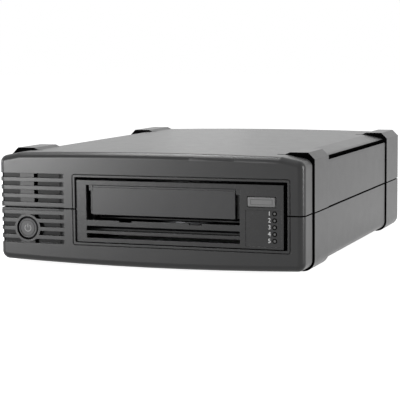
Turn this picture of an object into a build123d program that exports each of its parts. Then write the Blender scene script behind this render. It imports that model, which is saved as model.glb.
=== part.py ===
from build123d import *
import os
from math import cos, pi, radians, sin, tan

# Desktop tape drive: a two-shell plastic enclosure that holds a half-height cartridge drive,
# its power supply, a fan and the rear sockets. Millimetres, +X right, +Y to the rear, +Z up,
# with the origin under the middle of the enclosure, on the surface that it stands on.

# Drive front: the slot and the control panel beside it set the bezel's size
slot_width = 110.4
slot_height = 24.0
slot_from_left = 7.6
slot_from_bottom = 15.1
slot_from_top = 3.2
control_width = 30.0
bezel_width = slot_from_left + slot_width + control_width
bezel_height = slot_from_bottom + slot_height + slot_from_top
bezel_depth = 10.5
bezel_inset = 1.5

# Gaps between the bezel and the aperture, as the drive sits low and to the left in it
bezel_left_gap = 0.3
bezel_right_gap = 3.1
bezel_bottom_gap = 0.5
bezel_top_gap = 2.1
aperture_width = bezel_left_gap + bezel_width + bezel_right_gap
aperture_height = bezel_bottom_gap + bezel_height + bezel_top_gap

# Slot door, with the room that it needs to swing in ahead of the tray
door_from_slot_left = 5.0
door_from_slot_right = 3.2
door_from_slot_top = 1.55
door_above_slot_bottom = 3.95
door_width = slot_width - door_from_slot_left - door_from_slot_right
door_height = slot_height - door_from_slot_top - door_above_slot_bottom
door_thickness = 1.8
door_axis_depth = 1.6
door_axis_rise = 0.9
tray_front_gap = 2.0

# Drive body: the tray, and behind it the take-up reel beside the tape path, set its size
drive_side_inset = 1.0
drive_edge_inset = 0.5
cover_sheet = 0.8
base_wall = 1.4
cartridge_tray_length = 94.0
tape_path_width = 53.9
reel_from_wall = 7.7
reel_behind_tray = 14.9
reel_rear_gap = 1.1
drive_width = bezel_width - 2 * drive_side_inset
drive_height = bezel_height - 2 * drive_edge_inset
drive_inner_width = drive_width - 2 * cover_sheet - 2 * base_wall
reel_radius = (drive_inner_width - tape_path_width - reel_from_wall) / 2
tray_from_drive_front = door_axis_depth + door_height + tray_front_gap - bezel_depth
reel_bay = reel_behind_tray + 2 * reel_radius + reel_rear_gap
drive_depth = tray_from_drive_front + cartridge_tray_length + reel_bay + base_wall

# Enclosure, overall: what it leaves round the aperture and behind the drive
left_column = 58.6
right_column = 12.0
front_sill = 16.9
front_header = 17.8
rear_space = 65.0
case_width = left_column + aperture_width + right_column
case_depth = bezel_inset + bezel_depth + drive_depth + rear_space
case_height = front_sill + aperture_height + front_header
wall = 2.6
front_wall = 3.0
front_edge_radius = 4.4
rear_edge_radius = 2.4
profile_corner_radius = 5.5

# Enclosure, barrel-shaped cross-section
bumper_proud = 0.8
crown_below_pads = 0.4
crown_from_side = 17.0
crown_sag = 1.15
shoulder_drop = 3.05
skirt_height = 3.4
belly_height = 1.0
parting_gap = 0.8
lip_thickness = 1.2

# Corner bumpers, stacking pads and the grooves in front of them
bumper_front = 22.4
front_bumper_length = 35.2
rear_bumper_length = 43.9
bumper_corner_radius = 8.0
bumper_chamfer = 4.5
pad_from_side = 25.0
pad_ramp = 8.0
foot_pad_from_side = 33.0
foot_height = 0.6
groove_width = 3.4
groove_depth = 1.8
groove_from_side = 21.0
rebate_height = 2.4
rebate_depth = 5.0
rebate_below_shoulder = 2.8
rebate_slant = 3.0

# Louvres, measured from the left side
louvre_rows_each_way = 4
louvre_pitch = 5.68
louvre_gap = 3.0
louvre_depth = 3.0
louvre_wall = 6.8
louvre_wrap = 13.0
louvre_to_aperture = 13.6
louvre_ramp = 4.5
slit_from_side = 26.5
slit_width = 2.0
shallow_from_side = 15.8
shallow_depth = 1.2

# Power button
power_x_from_side = 21.4
power_below_parting = 13.9
power_radius = 7.4
power_gap = 0.7
power_ring_width = 1.7
power_cap_length = 8.0
power_cap_recess = 0.4
power_cap_edge = 0.8
power_line_radius = 5.8
power_line_width = 0.6
power_line_depth = 0.3
power_flange = 1.2
power_travel = 1.2
power_stem_radius = 3.0
switch_board_depth = 20.0
switch_board_half = 9.0
switch_height = 7.0
switch_half = 6.0

# Front aperture and the line round it
aperture_corner = 1.0
frame_line_offset = 1.4
frame_line_width = 0.6
frame_line_depth = 0.5

# Fasteners
case_boss_from_side = 7.2
case_boss_from_end = 28.0
case_boss_radius = 4.4
tray_boss_inset = 10.0
tray_boss_from_panel = 30.0
switch_rib_half = 10.0
switch_rib_thickness = 3.0
switch_rib_below_button = 11.0
case_screw_radius = 1.5
screw_head_radius = 2.9
screw_head_height = 2.0
case_screw_below_parting = 19.6
case_screw_length = 34.0
case_screw_room = 2.0
screw_clearance = 0.05

# Rubber feet
foot_radius = 6.0
foot_from_side = 20.0
foot_recess = 1.2
foot_gap = 0.2

# Rear panel
rear_panel_thickness = 1.2
rear_panel_inset = 4.8
rear_rib = 2.0
panel_fit = 0.3
panel_screw_rise = 5.0
panel_screw_from_edge = 8.0
panel_screw_length = 6.0

# Chassis tray and drive rails
sheet = 1.2
tray_from_side = 13.2
tray_top = 10.0
tray_from_front = 40.0
tray_flange_height = 12.0
tray_flange_from_fan = 4.0
rail_height = 24.0
rail_foot = 6.0
rail_from_drive_front = 32.0
rail_from_drive_rear = 21.0
drive_screw_radius = 1.5
drive_screw_spacing = 79.2
drive_screw_first = 52.0
drive_screw_height = 10.0
connector_rise = 6.4

# Fan
fan_height_margin = 19.6
fan_depth = 15.0
fan_from_side = 44.2
fan_above_tray = 1.0
fan_rim = 1.4
fan_hub_radius = 12.0
fan_blades = 7
fan_blade_thickness = 1.2
fan_blade_pitch = 35
fan_hole_inset = 5.0
fan_corner = 4.0
fan_strut_width = 3.0
fan_strut_depth = 2.0
fan_rotor_front_gap = 0.4
fan_rotor_rear_gap = 1.0
fan_screw_from_front = 3.0
fan_screw_radius = 2.0
fan_shaft_radius = 1.5
fan_tip_gap = 0.8
running_gap = 0.05

# Mains inlet
inlet_from_fan = 20.0
inlet_above_tray = 30.0
inlet_width = 27.6
inlet_tall = 20.0
inlet_flange = 2.0
inlet_flange_rim = 2.2
inlet_depth = 22.0
inlet_wall = 1.6
inlet_corner = 2.0
inlet_cut_corner = 4.0
inlet_blade_recess = 1.0
inlet_socket_depth = 16.0
blade_spread = 7.0
blade_rise = 2.0
blade_width = 2.0
blade_height = 4.0

# Data socket
data_from_tray_edge = 45.0
data_width = 38.0
data_tall = 12.5
data_depth = 24.0
data_proud = 0.6
cage_wall = 0.8
tongue_thickness = 1.0
tongue_margin = 3.0
data_board_above_tray = 22.0
data_board_margin = 2.0
data_board_behind = 6.0
data_tab_gap = 6.0

# Power supply
board_thickness = 1.6
psu_from_tray_edge = 3.0
psu_from_tray_front = 8.0
psu_from_panel = 61.0
psu_from_rail = 3.7
psu_spacer_height = 5.0
psu_spacer_radius = 3.0
psu_spacer_inset_x = 4.0
psu_spacer_inset_y = 5.0
header_width = 9.0
header_length = 9.0
header_height = 7.0
header_from_edge = 7.0
transformer_edge = 3.0
transformer_length = 32.0
transformer_yoke = 6.0
transformer_leg = 4.0
transformer_window = 16.0
winding_inset = 5.0
winding_length = 24.0
capacitor_edge = 6.0
capacitor_height = 38.0
small_capacitor_radius = 7.0
small_capacitor_height = 26.0
heatsink_edge = 4.0
heatsink_height = 32.0
heatsink_plate = 2.0
heatsink_fin_length = 6.0
heatsink_fin_thickness = 1.4
heatsink_fins = 5
transformer_share = 0.485
capacitor_share = 0.17
small_capacitor_shares = (0.745, 0.855)
heatsink_shares = (0.303, 0.642)

# Leads inside the case: thickness, and the steps of each way from the places at its ends
lead_sides = 8
mains_lead_size = 5.0
mains_lead_from_inlet = ((-6, 0, 0), (-6, -9, 0), (-20, -17, -1))
mains_lead_to_supply = ((26, 24, 18), (4, 20, 8), (0, 9, 0), (0, 0, 0))
drive_lead_size = 4.0
drive_lead_from_drive = ((0, 0, 0), (0, 8, 0), (-9, 15, -2))
drive_lead_to_supply = ((10, 16, 1), (0, 8, 0), (0, 0, 0))
fan_lead_size = 2.0
fan_lead_from_fan = ((-6, 0, 3), (-6, -6, 3), (-14, -14, 4))
fan_lead_to_supply = ((8, 19, -3), (0, 10, 0), (0, 0, 0))
switch_lead_size = 2.0
switch_lead_from_switch = ((0, 0, -4), (0, 7, -4))
switch_lead_between = ((6, -14, -2),)
switch_lead_to_supply = ((0, -8, 0), (0, 0, 0))
data_cable_size = 4.0
data_cable_from_drive = ((0, 0, 0), (0, 9, 0), (14, 18, 4))
data_cable_to_socket = ((-6, -10, -1), (0, -6, 0), (0, 0, 0))

# Drive casting and bezel, walls and floor
bezel_plate = 3.0
bezel_rim = 1.5
cover_flange = 10.0
base_floor = 1.8
floor_rise = 7.7

# Slot edges, hinge and lip
slot_skin = 0.6
slot_relief = 0.8
door_barrel_radius = 0.9
door_pin_radius = 0.7
door_pin_length = 2.0
door_web = 1.0
cheek_width = 2.6
cheek_gap = 0.4
cheek_depth = 6.0
cheek_recess = 3.2
cheek_lug = 2.4
lip_notch_width = 9.2
lip_notch_depth = 1.0
lip_notch_left = 24.1
lip_notch_right = 74.7

# Bezel cooling slots under the cartridge slot
bezel_slot_height = 3.2
bezel_slot_rib = 1.9
bezel_slot_below_lip = 4.0

# Control panel at the bezel's right end, measured from the slot and the bezel's lower edge
panel_from_slot = 0.6
label_from_slot = 3.9
label_top = 25.6
label_depth = 0.3
eject_from_slot = 5.6
eject_bottom = 27.8
eject_width = 19.0
eject_height = 6.3
eject_gap = 0.4
eject_proud = 0.6
eject_flange = 1.0
eject_flange_rim = 1.0
eject_corner = 0.8
eject_edge = 0.4
eject_stem_radius = 2.0
eject_switch = 3.0
eject_switch_gap = 0.6
eject_travel = 1.0
led_from_slot = 23.8
led_count = 5
led_pitch = 4.5
led_top = 23.5
led_radius = 1.2
led_gap = 0.1
led_recess = 0.2
panel_board_inset = 1.8
panel_board_margin = 3.0
panel_board_wall_gap = 0.5
peg_radius = 2.0
peg_inset_x = 6.0
peg_inset_z = 6.0
far_peg_inset_x = 8.0
far_peg_inset_z = 5.0

# Boards and connectors of the drive
board_below_floor = 1.6
board_boss_inset = 12.0
board_boss_from_front = 14.0
board_boss_from_rear = 34.0
board_boss_radius = 3.0
board_side_gap = 2.0
board_front_gap = 6.0
board_rear_gap = 3.0
chip_height = 1.2
chip_sizes = (24.0, 18.0, 14.0, 12.0)
chip_shares = ((-0.218, -0.165), (0.055, -0.214), (0.261, 0.032), (-0.321, 0.13))
power_window_from_left = 8.3
power_window_width = 22.0
data_window_from_left = 52.3
data_window_width = 26.0
window_gap = 0.5
connector_depth = 14.0

# Loader: tray, cam slide and gear train
tray_sheet = 1.0
tray_side_gap = 0.1
tray_lip = 8.0
tray_below_slot = 0.2
tray_hole_round_motor = 3.0
tray_drop = 5.0
pin_radius = 1.5
pin_clearance = 0.1
pin_height_in_tray = 10.7
pin_first = 22.0
pin_from_tray_rear = 6.0
slide_travel = 20.0
cam_sheet = 1.2
cam_gap = 1.0
cam_upper_share = 0.333
cam_end = 3.0
guide_gap = 0.8
guide_sheet = 1.2
guide_top_gap = 2.0
guide_end_gap = 2.0
guide_slot_end = 0.4
guide_slot_deep = 1.35
pin_in_guide = 1.2
strap_width = 6.0
strap_gap = 0.4
rack_module = 0.8
pinion_teeth = 12
train_module = 0.6
wheel_teeth = 24
motor_teeth = 10
gear_width = 2.5
gear_from_tray_front = 55.0
gear_side_gap = 0.2
gear_pin_radius = 1.25
hub_radius = 3.2
hub_hole_gap = 2.6
motor_radius = 7.8
motor_length = 16.0
motor_shaft_radius = 1.0
motor_shaft_length = 8.0
bracket_toe = 8.0
bracket_front_margin = 6.0
bracket_rear_margin = 8.0

# Reels and the tape path
spindle_before_tray_middle = 1.0
spindle_radius = 18.0
spindle_motor_radius = 25.0
spindle_motor_height = 2.0
spindle_teeth = 18
spindle_below_tray = 2.0
spindle_lift = 0.3
tooth_inset = 2.5
tooth_length = 4.0
tooth_width = 2.6
tooth_height = 1.4
post_radius = 3.0
post_below_tray = 1.6
reel_hub_radius = 20.0
reel_above_motor = 1.0
reel_post_rise = 1.0
reel_flange = 1.2
tape_width = 12.65
tape_side_gap = 0.3
reel_motor_radius = 23.0
reel_motor_height = 6.4
roller_radius = 6.0
roller_flange_radius = 7.0
roller_flange = 1.0
roller_post_radius = 1.5
roller_from_wall = (14.9, 18.9, 18.9, 38.9)
roller_shares = (-1.06, -0.61, 0.34, 0.74)
roller_lift = 0.2
post_above_rollers = 2.0
head_from_wall = 4.5
head_share = -0.1375
head_post_spacing = 16.0
head_carriage_width = 22.0
head_carriage_height = 10.0
head_carriage_thickness = 6.8
head_travel = 3.0
head_screw_radius = 1.5
head_width = 14.0
head_height = 13.0
head_thickness = 3.4
stepper_radius = 4.2
stepper_gap = 0.4
screw_in_stepper = 2.9
stepper_bore_depth = 3.0

# Places that follow from the sizes
front_y = -case_depth / 2
rear_y = case_depth / 2
side_half = case_width / 2 - bumper_proud
left_x = -side_half
crown_half_width = case_width / 2 - crown_from_side
crown_top = case_height - crown_below_pads
crown_edge = crown_top - crown_sag
shoulder_height = crown_edge - shoulder_drop
parting_height = (case_height - parting_gap) / 2
pad_inner = case_width / 2 - pad_from_side
foot_pad_inner = case_width / 2 - foot_pad_from_side
groove_inner = case_width / 2 - groove_from_side
front_bumper_y = front_y + bumper_front
front_bumper_end = front_bumper_y + front_bumper_length
rear_bumper_y = rear_y - rear_bumper_length
louvre_span = left_column - louvre_to_aperture
power_x = left_x + power_x_from_side
power_height = parting_height - power_below_parting
switch_board_y = front_y + switch_board_depth
panel_y = rear_y - rear_panel_inset - rear_panel_thickness
outer_face = panel_y + rear_panel_thickness
case_boss_x = side_half - case_boss_from_side
case_boss_y = rear_y - case_boss_from_end
case_screw_head_level = parting_height - case_screw_below_parting
foot_x = case_width / 2 - foot_from_side
foot_front_y = front_bumper_y + front_bumper_length / 2
foot_rear_y = rear_y - rear_bumper_length / 2
aperture_left = left_column - case_width / 2
aperture_right = aperture_left + aperture_width
aperture_bottom = front_sill
aperture_top = aperture_bottom + aperture_height

bezel_front = front_y + bezel_inset
bezel_back = bezel_front + bezel_depth
panel_board_front = bezel_back + panel_board_inset
bezel_left = aperture_left + bezel_left_gap
bezel_right = bezel_left + bezel_width
bezel_bottom = aperture_bottom + bezel_bottom_gap
bezel_top = bezel_bottom + bezel_height
drive_left = bezel_left + drive_side_inset
drive_right = drive_left + drive_width
drive_bottom = bezel_bottom + drive_edge_inset
drive_top = drive_bottom + drive_height
drive_front = bezel_back
drive_rear = drive_front + drive_depth
base_left = drive_left + cover_sheet
base_right = drive_right - cover_sheet
floor_top = drive_bottom + floor_rise
floor_bottom = floor_top - base_floor
lid_bottom = drive_top - cover_sheet

slot_left = bezel_left + slot_from_left
slot_right = slot_left + slot_width
slot_bottom = bezel_bottom + slot_from_bottom
slot_top = slot_bottom + slot_height
slot_x = (slot_left + slot_right) / 2
panel_left = slot_right + panel_from_slot
door_left = slot_left + door_from_slot_left
door_right = door_left + door_width
door_top = slot_top - door_from_slot_top
door_bottom = door_top - door_height
door_axis_y = bezel_front + door_axis_depth
door_axis_z = door_top + door_axis_rise

tray_height = slot_height
cartridge_front = drive_front + tray_from_drive_front
cartridge_rear = cartridge_front + cartridge_tray_length
tray_floor_top = slot_bottom - tray_below_slot
tray_bottom = tray_floor_top - tray_sheet
tray_left = slot_left + tray_side_gap
tray_right = slot_right - tray_side_gap
pin_z = tray_bottom + pin_height_in_tray
pin_ys = (cartridge_front + pin_first, cartridge_rear - pin_from_tray_rear)
cam_upper = cam_upper_share * tray_height
cam_left = tray_left - cam_gap - cam_sheet
cam_right = tray_right + cam_gap + cam_sheet
guide_left = cam_left - guide_gap
guide_right = cam_right + guide_gap
pinion_radius = rack_module * pinion_teeth / 2
wheel_radius = train_module * wheel_teeth / 2
motor_pinion_radius = train_module * motor_teeth / 2
gear_y = cartridge_front + gear_from_tray_front
rack_z = pin_z - pin_radius
gear_z = rack_z - pinion_radius
motor_y = gear_y + wheel_radius + motor_pinion_radius
spindle_y = cartridge_front + cartridge_tray_length / 2 - spindle_before_tray_middle
tray_hole_radius = spindle_motor_radius + tray_hole_round_motor
wheel_x = guide_right + guide_sheet + guide_gap
bracket_x = wheel_x + gear_width + guide_gap

path_left = base_left + base_wall
reel_x = path_left + tape_path_width + reel_radius
reel_y = cartridge_rear + reel_behind_tray + reel_radius
roller_x = [path_left + place for place in roller_from_wall]
roller_y = [reel_y + share * reel_radius for share in roller_shares]
head_x = path_left + head_from_wall
head_y = reel_y + head_share * reel_radius

tray_half_width = side_half - tray_from_side
tray_front = front_y + tray_from_front
rail_front = drive_front + rail_from_drive_front
rail_length = drive_depth - rail_from_drive_front - rail_from_drive_rear
fan_size = case_height - fan_height_margin
fan_bore_radius = fan_size / 2 - fan_rim
fan_hole_spacing = fan_size - 2 * fan_hole_inset
fan_x = left_x + fan_from_side
fan_y = panel_y - fan_depth
fan_z = tray_top + fan_size / 2 + fan_above_tray
inlet_x = fan_x + fan_size / 2 + inlet_from_fan
inlet_height = tray_top + inlet_above_tray
data_x = tray_half_width - data_from_tray_edge
data_board_top = tray_top + data_board_above_tray
psu_left = psu_from_tray_edge - tray_half_width
psu_right = base_left - rail_foot - psu_from_rail
psu_width = psu_right - psu_left
psu_front = tray_front + psu_from_tray_front
psu_rear = panel_y - psu_from_panel
psu_length = psu_rear - psu_front


def seen_from_front(y):
    """The plane at depth y whose sketch shows X to the right and Z up."""
    return Plane.XZ.offset(-y)


def seen_from_right(x):
    """The plane at x whose sketch shows Y to the right and Z up."""
    return Plane.YZ.offset(x)


def seen_from_above(z):
    """The plane at height z whose sketch shows X to the right and Y up."""
    return Plane.XY.offset(z)


def panel(low_x, high_x, low_y, high_y, mode=Mode.ADD):
    """Draws a rectangle between two opposite corners in the sketch being built."""
    with Locations(((low_x + high_x) / 2, (low_y + high_y) / 2)):
        Rectangle(high_x - low_x, high_y - low_y, mode=mode)


def block(low, high, mode=Mode.ADD):
    """Adds a block between two opposite corners to the part being built."""
    middle = [(a + b) / 2 for a, b in zip(low, high)]
    with Locations(tuple(middle)):
        Box(*[b - a for a, b in zip(low, high)], mode=mode)


def disc(x, y, low_z, high_z, radius, mode=Mode.ADD):
    """Adds an upright cylinder between two heights to the part being built."""
    with Locations((x, y, (low_z + high_z) / 2)):
        Cylinder(radius, high_z - low_z, mode=mode)


def rod_across(low_x, high_x, y, z, radius, mode=Mode.ADD):
    """Adds a cylinder that lies along X to the part being built."""
    with Locations(((low_x + high_x) / 2, y, z)):
        Cylinder(radius, high_x - low_x, rotation=(0, 90, 0), mode=mode)


def rod_along(x, low_y, high_y, z, radius, mode=Mode.ADD):
    """Adds a cylinder that lies along Y to the part being built."""
    with Locations((x, (low_y + high_y) / 2, z)):
        Cylinder(radius, high_y - low_y, rotation=(90, 0, 0), mode=mode)


# Enclosure skin, before it is parted into two covers
with BuildSketch() as outer_section:
    with BuildLine():
        ThreePointArc(
            (-crown_half_width, crown_edge), (0, crown_top), (crown_half_width, crown_edge)
        )
        Polyline(
            (crown_half_width, crown_edge),
            (side_half, shoulder_height),
            (side_half, skirt_height),
        )
        ThreePointArc(
            (side_half, skirt_height), (0, belly_height), (-side_half, skirt_height)
        )
        Polyline(
            (-side_half, skirt_height),
            (-side_half, shoulder_height),
            (-crown_half_width, crown_edge),
        )
    make_face()
    corners = outer_section.vertices().filter_by(lambda v: abs(v.X) > crown_half_width + 1)
    fillet(corners, profile_corner_radius)

# Cross-section of the right-hand corner bumper with its pad above and its foot below
with BuildSketch() as bumper_section:
    with BuildLine():
        Polyline(
            (pad_inner, crown_edge - pad_ramp / 4),
            (pad_inner + pad_ramp, case_height),
            (case_width / 2, case_height),
            (case_width / 2, foot_height),
            (foot_pad_inner, foot_height),
            (foot_pad_inner, foot_height + wall),
            (pad_inner, parting_height),
            close=True,
        )
    make_face()
    outermost = bumper_section.vertices().filter_by(lambda v: v.X > case_width / 2 - 1)
    fillet(outermost.sort_by(Axis.Y)[0], bumper_corner_radius)
    outermost = bumper_section.vertices().filter_by(lambda v: v.X > case_width / 2 - 1)
    chamfer(outermost.sort_by(Axis.Y)[-1], bumper_chamfer)

with BuildPart() as skin:
    with BuildSketch(seen_from_front(front_y)):
        add(outer_section.sketch)
    extrude(amount=-case_depth)
    fillet(skin.faces().sort_by(Axis.Y)[0].edges(), front_edge_radius)
    fillet(skin.faces().sort_by(Axis.Y)[-1].edges(), rear_edge_radius)

with BuildPart() as bumpers:
    for start, length in (
        (front_bumper_y, front_bumper_length),
        (rear_bumper_y, rear_bumper_length),
    ):
        with BuildSketch(seen_from_front(start)):
            add(bumper_section.sketch)
        extrude(amount=-length)
    outside = bumpers.faces().sort_by(Axis.Y)
    fillet(
        outside[-1].edges().filter_by(lambda e: e.center().X > case_width / 2 - bumper_chamfer),
        rear_edge_radius,
    )
    mirror(about=Plane.YZ)

with BuildPart() as groove_rings:
    for start in (front_bumper_y - groove_width, rear_bumper_y - groove_width):
        with BuildSketch(seen_from_front(start)):
            add(outer_section.sketch)
            offset(outer_section.sketch, amount=-groove_depth, mode=Mode.SUBTRACT)
            panel(-groove_inner, groove_inner, 0, case_height, mode=Mode.SUBTRACT)
        extrude(amount=-groove_width)

with BuildPart() as top_rebates:
    rebate_floor = shoulder_height - rebate_below_shoulder
    with BuildSketch(seen_from_right(side_half - rebate_depth)):
        with BuildLine():
            Polyline(
                (front_bumper_end + rebate_slant, rebate_floor),
                (rear_bumper_y - groove_width, rebate_floor),
                (rear_bumper_y - groove_width, rebate_floor + rebate_height),
                (front_bumper_end, rebate_floor + rebate_height),
                close=True,
            )
        make_face()
    extrude(amount=rebate_depth + bumper_proud)
    mirror(about=Plane.YZ)

with BuildPart() as hollow:
    cavity_front = front_y + front_wall
    with BuildSketch(seen_from_front(cavity_front)):
        offset(outer_section.sketch, amount=-wall)
    extrude(amount=-(panel_y - rear_rib - cavity_front))
    with BuildSketch(seen_from_front(panel_y - rear_rib)):
        offset(outer_section.sketch, amount=-wall - rear_rib)
    extrude(amount=-rear_rib)
    with BuildSketch(seen_from_front(panel_y)):
        offset(outer_section.sketch, amount=-wall)
    extrude(amount=-(rear_y - panel_y))
    louvre_right = left_x + louvre_span + louvre_ramp
    block(
        (left_x, front_y, 0),
        (louvre_right + front_wall, front_y + louvre_wall, case_height),
        mode=Mode.SUBTRACT,
    )
    block(
        (left_x, front_y, 0),
        (left_x + shallow_depth + wall, front_y + louvre_wrap + wall, case_height),
        mode=Mode.SUBTRACT,
    )
    rebate_inside = side_half - rebate_depth - wall
    for low_x, high_x in ((-side_half, -rebate_inside), (rebate_inside, side_half)):
        block(
            (low_x, front_bumper_end - wall, rebate_floor - wall),
            (high_x, rear_bumper_y, case_height),
            mode=Mode.SUBTRACT,
        )


# Louvre grooves that wrap round the left front corner
def louvre_cutter(floor_depth, with_slit):
    """Makes one groove: floor_depth into the front and side, fading out at its right end."""
    outside = 3.0
    deep = front_y + floor_depth
    shallow = front_y + shallow_depth
    through = front_y + louvre_wall + 1
    side_floor = left_x + shallow_depth
    end = left_x + louvre_span
    slit = left_x + slit_from_side
    shelf = left_x + shallow_from_side
    wrap = front_y + louvre_wrap
    with BuildPart() as cutter:
        with BuildSketch(seen_from_above(-louvre_gap / 2)):
            with BuildLine():
                Polyline(
                    (left_x - outside, front_y - outside),
                    (end + louvre_ramp * (1 + outside / floor_depth), front_y - outside),
                    (end, deep),
                    (side_floor, deep),
                    (side_floor, wrap - shallow_depth),
                    (left_x - outside, wrap + outside),
                    close=True,
                )
            make_face()
            if with_slit:
                panel(slit, slit + slit_width, front_y, through)
                panel(shelf, slit, shallow, deep + 1, mode=Mode.SUBTRACT)
        extrude(amount=louvre_gap)
    return cutter.part


with BuildPart() as louvre_grooves:
    row_range = range(-louvre_rows_each_way, louvre_rows_each_way + 1)
    heights = [parting_height + row * louvre_pitch for row in row_range if row != 0]
    open_groove = louvre_cutter(louvre_depth, True)
    with Locations(*[(0, 0, height) for height in heights]):
        add(open_groove)
    closed_groove = louvre_cutter(shallow_depth, False)
    with Locations((0, 0, parting_height)):
        add(closed_groove)

with BuildPart() as aperture:
    with BuildSketch(seen_from_front(front_y)):
        with Locations(
            ((aperture_left + aperture_right) / 2, (aperture_bottom + aperture_top) / 2)
        ):
            RectangleRounded(aperture_width, aperture_height, aperture_corner)
    extrude(amount=-front_wall)
    with BuildSketch(seen_from_front(front_y)):
        with Locations(
            ((aperture_left + aperture_right) / 2, (aperture_bottom + aperture_top) / 2)
        ):
            line_in = 2 * frame_line_offset
            line_out = line_in + 2 * frame_line_width
            RectangleRounded(
                aperture_width + line_out, aperture_height + line_out, 2 * aperture_corner
            )
            RectangleRounded(
                aperture_width + line_in,
                aperture_height + line_in,
                aperture_corner,
                mode=Mode.SUBTRACT,
            )
    extrude(amount=-frame_line_depth)

with BuildPart() as housing:
    add(skin.part)
    add(bumpers.part)
    add(groove_rings.part, mode=Mode.SUBTRACT)
    add(top_rebates.part, mode=Mode.SUBTRACT)
    add(hollow.part, mode=Mode.SUBTRACT)
    add(louvre_grooves.part, mode=Mode.SUBTRACT)
    add(aperture.part, mode=Mode.SUBTRACT)

boss_places = [
    (x, y) for x in (-case_boss_x, case_boss_x) for y in (-case_boss_y, case_boss_y)
]
foot_places = [(x, y) for x in (-foot_x, foot_x) for y in (foot_front_y, foot_rear_y)]

with BuildPart() as inner_space:
    with BuildSketch(seen_from_front(front_y + front_wall)):
        offset(outer_section.sketch, amount=-wall / 2)
    extrude(amount=-(panel_y - front_y - front_wall))

# Upper cover
with BuildPart() as upper_cover:
    add(housing.part)
    split(bisect_by=seen_from_above(parting_height + parting_gap), keep=Keep.TOP)
    with BuildPart(mode=Mode.PRIVATE) as upper_bosses:
        for x, y in boss_places:
            disc(x, y, parting_height + parting_gap, case_height, case_boss_radius)
        add(inner_space.part, mode=Mode.INTERSECT)
    add(upper_bosses.part)
    for x, y in boss_places:
        disc(
            x,
            y,
            parting_height,
            case_screw_head_level + case_screw_length + case_screw_room,
            case_screw_radius + screw_clearance,
            mode=Mode.SUBTRACT,
        )
upper_cover.part.label = "upper_cover"

# Lower cover, with the lip that closes the parting line from inside
with BuildPart() as lower_cover:
    add(housing.part)
    split(bisect_by=seen_from_above(parting_height), keep=Keep.BOTTOM)
    rod_along(
        power_x,
        front_y,
        front_y + louvre_wall,
        power_height,
        power_radius + power_gap + power_ring_width,
    )
    rod_along(
        power_x,
        front_y - 1,
        front_y + louvre_wall + 1,
        power_height,
        power_radius + power_gap,
        mode=Mode.SUBTRACT,
    )
    with BuildPart(mode=Mode.PRIVATE) as lower_bosses:
        for x, y in boss_places:
            disc(x, y, 0, parting_height + parting_gap, case_boss_radius)
        for x in (tray_boss_inset - tray_half_width, tray_half_width - tray_boss_inset):
            for y in (tray_front + tray_boss_inset, panel_y - tray_boss_from_panel):
                disc(x, y, 0, tray_top - sheet, case_boss_radius)
        block(
            (power_x - switch_rib_half, switch_board_y - switch_rib_thickness, 0),
            (power_x + switch_rib_half, switch_board_y, power_height - switch_rib_below_button),
        )
        add(inner_space.part, mode=Mode.INTERSECT)
    add(lower_bosses.part)
    for x, y in boss_places:
        disc(
            x,
            y,
            0,
            parting_height + 1,
            case_screw_radius + screw_clearance,
            mode=Mode.SUBTRACT,
        )
        disc(x, y, 0, case_screw_head_level, screw_head_radius + foot_gap, mode=Mode.SUBTRACT)
    for x, y in foot_places:
        disc(x, y, 0, foot_height + foot_recess, foot_radius + foot_gap, mode=Mode.SUBTRACT)
    with BuildSketch(seen_from_above(parting_height)):
        panel(
            -side_half + wall / 2,
            side_half - wall / 2,
            front_y + front_wall - lip_thickness,
            panel_y - rear_rib,
        )
        panel(
            -side_half + wall / 2 + lip_thickness,
            side_half - wall / 2 - lip_thickness,
            front_y + front_wall,
            panel_y,
            mode=Mode.SUBTRACT,
        )
        panel(
            -side_half,
            louvre_right + front_wall,
            front_y,
            front_y + louvre_wrap + wall,
            mode=Mode.SUBTRACT,
        )
        panel(aperture_left, aperture_right, front_y, front_y + wall * 2, mode=Mode.SUBTRACT)
        panel(
            left_x + shallow_depth,
            louvre_right + front_wall,
            front_y + louvre_wall - lip_thickness,
            front_y + louvre_wall,
        )
    extrude(amount=parting_gap)
lower_cover.part.label = "lower_cover"

# Rubber feet in their recesses
with BuildPart() as rubber_feet:
    for x, y in foot_places:
        disc(x, y, 0, foot_height + foot_recess, foot_radius)
rubber_feet.part.label = "rubber_feet"


def screw_up(x, y, head_top, length, radius):
    """Adds a screw that is driven upwards, with its head under head_top."""
    disc(x, y, head_top - screw_head_height, head_top, screw_head_radius)
    disc(x, y, head_top, head_top + length, radius)


with BuildPart() as case_screws:
    for x, y in boss_places:
        screw_up(x, y, case_screw_head_level, case_screw_length, case_screw_radius)
case_screws.part.label = "case_screws"

# Power button and the switch board behind it
switch_front = switch_board_y - switch_height
with BuildPart() as power_button:
    cap_front = front_y + power_cap_recess
    rod_along(power_x, cap_front, cap_front + power_cap_length, power_height, power_radius)
    chamfer(power_button.edges().sort_by(Axis.Y)[0], power_cap_edge)
    with BuildSketch(seen_from_front(cap_front)):
        with Locations((power_x, power_height)):
            Circle(power_line_radius)
            Circle(power_line_radius - power_line_width, mode=Mode.SUBTRACT)
    extrude(amount=-power_line_depth, mode=Mode.SUBTRACT)
    flange_y = front_y + louvre_wall + panel_fit
    stem_end = switch_front - power_travel - panel_fit
    rod_along(power_x, flange_y, stem_end, power_height, power_stem_radius)
    rod_along(
        power_x, flange_y, flange_y + power_flange, power_height, power_radius + power_flange
    )
power_button.part.label = "power_button"

with BuildPart() as power_switch:
    block(
        (power_x - switch_board_half, switch_board_y, skirt_height + 2 * wall),
        (
            power_x + switch_board_half,
            switch_board_y + board_thickness,
            power_height + switch_board_half,
        ),
    )
    block(
        (power_x - switch_half, switch_front, power_height - switch_half),
        (power_x + switch_half, switch_board_y, power_height + switch_half),
    )
power_switch.part.label = "power_switch"

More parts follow.
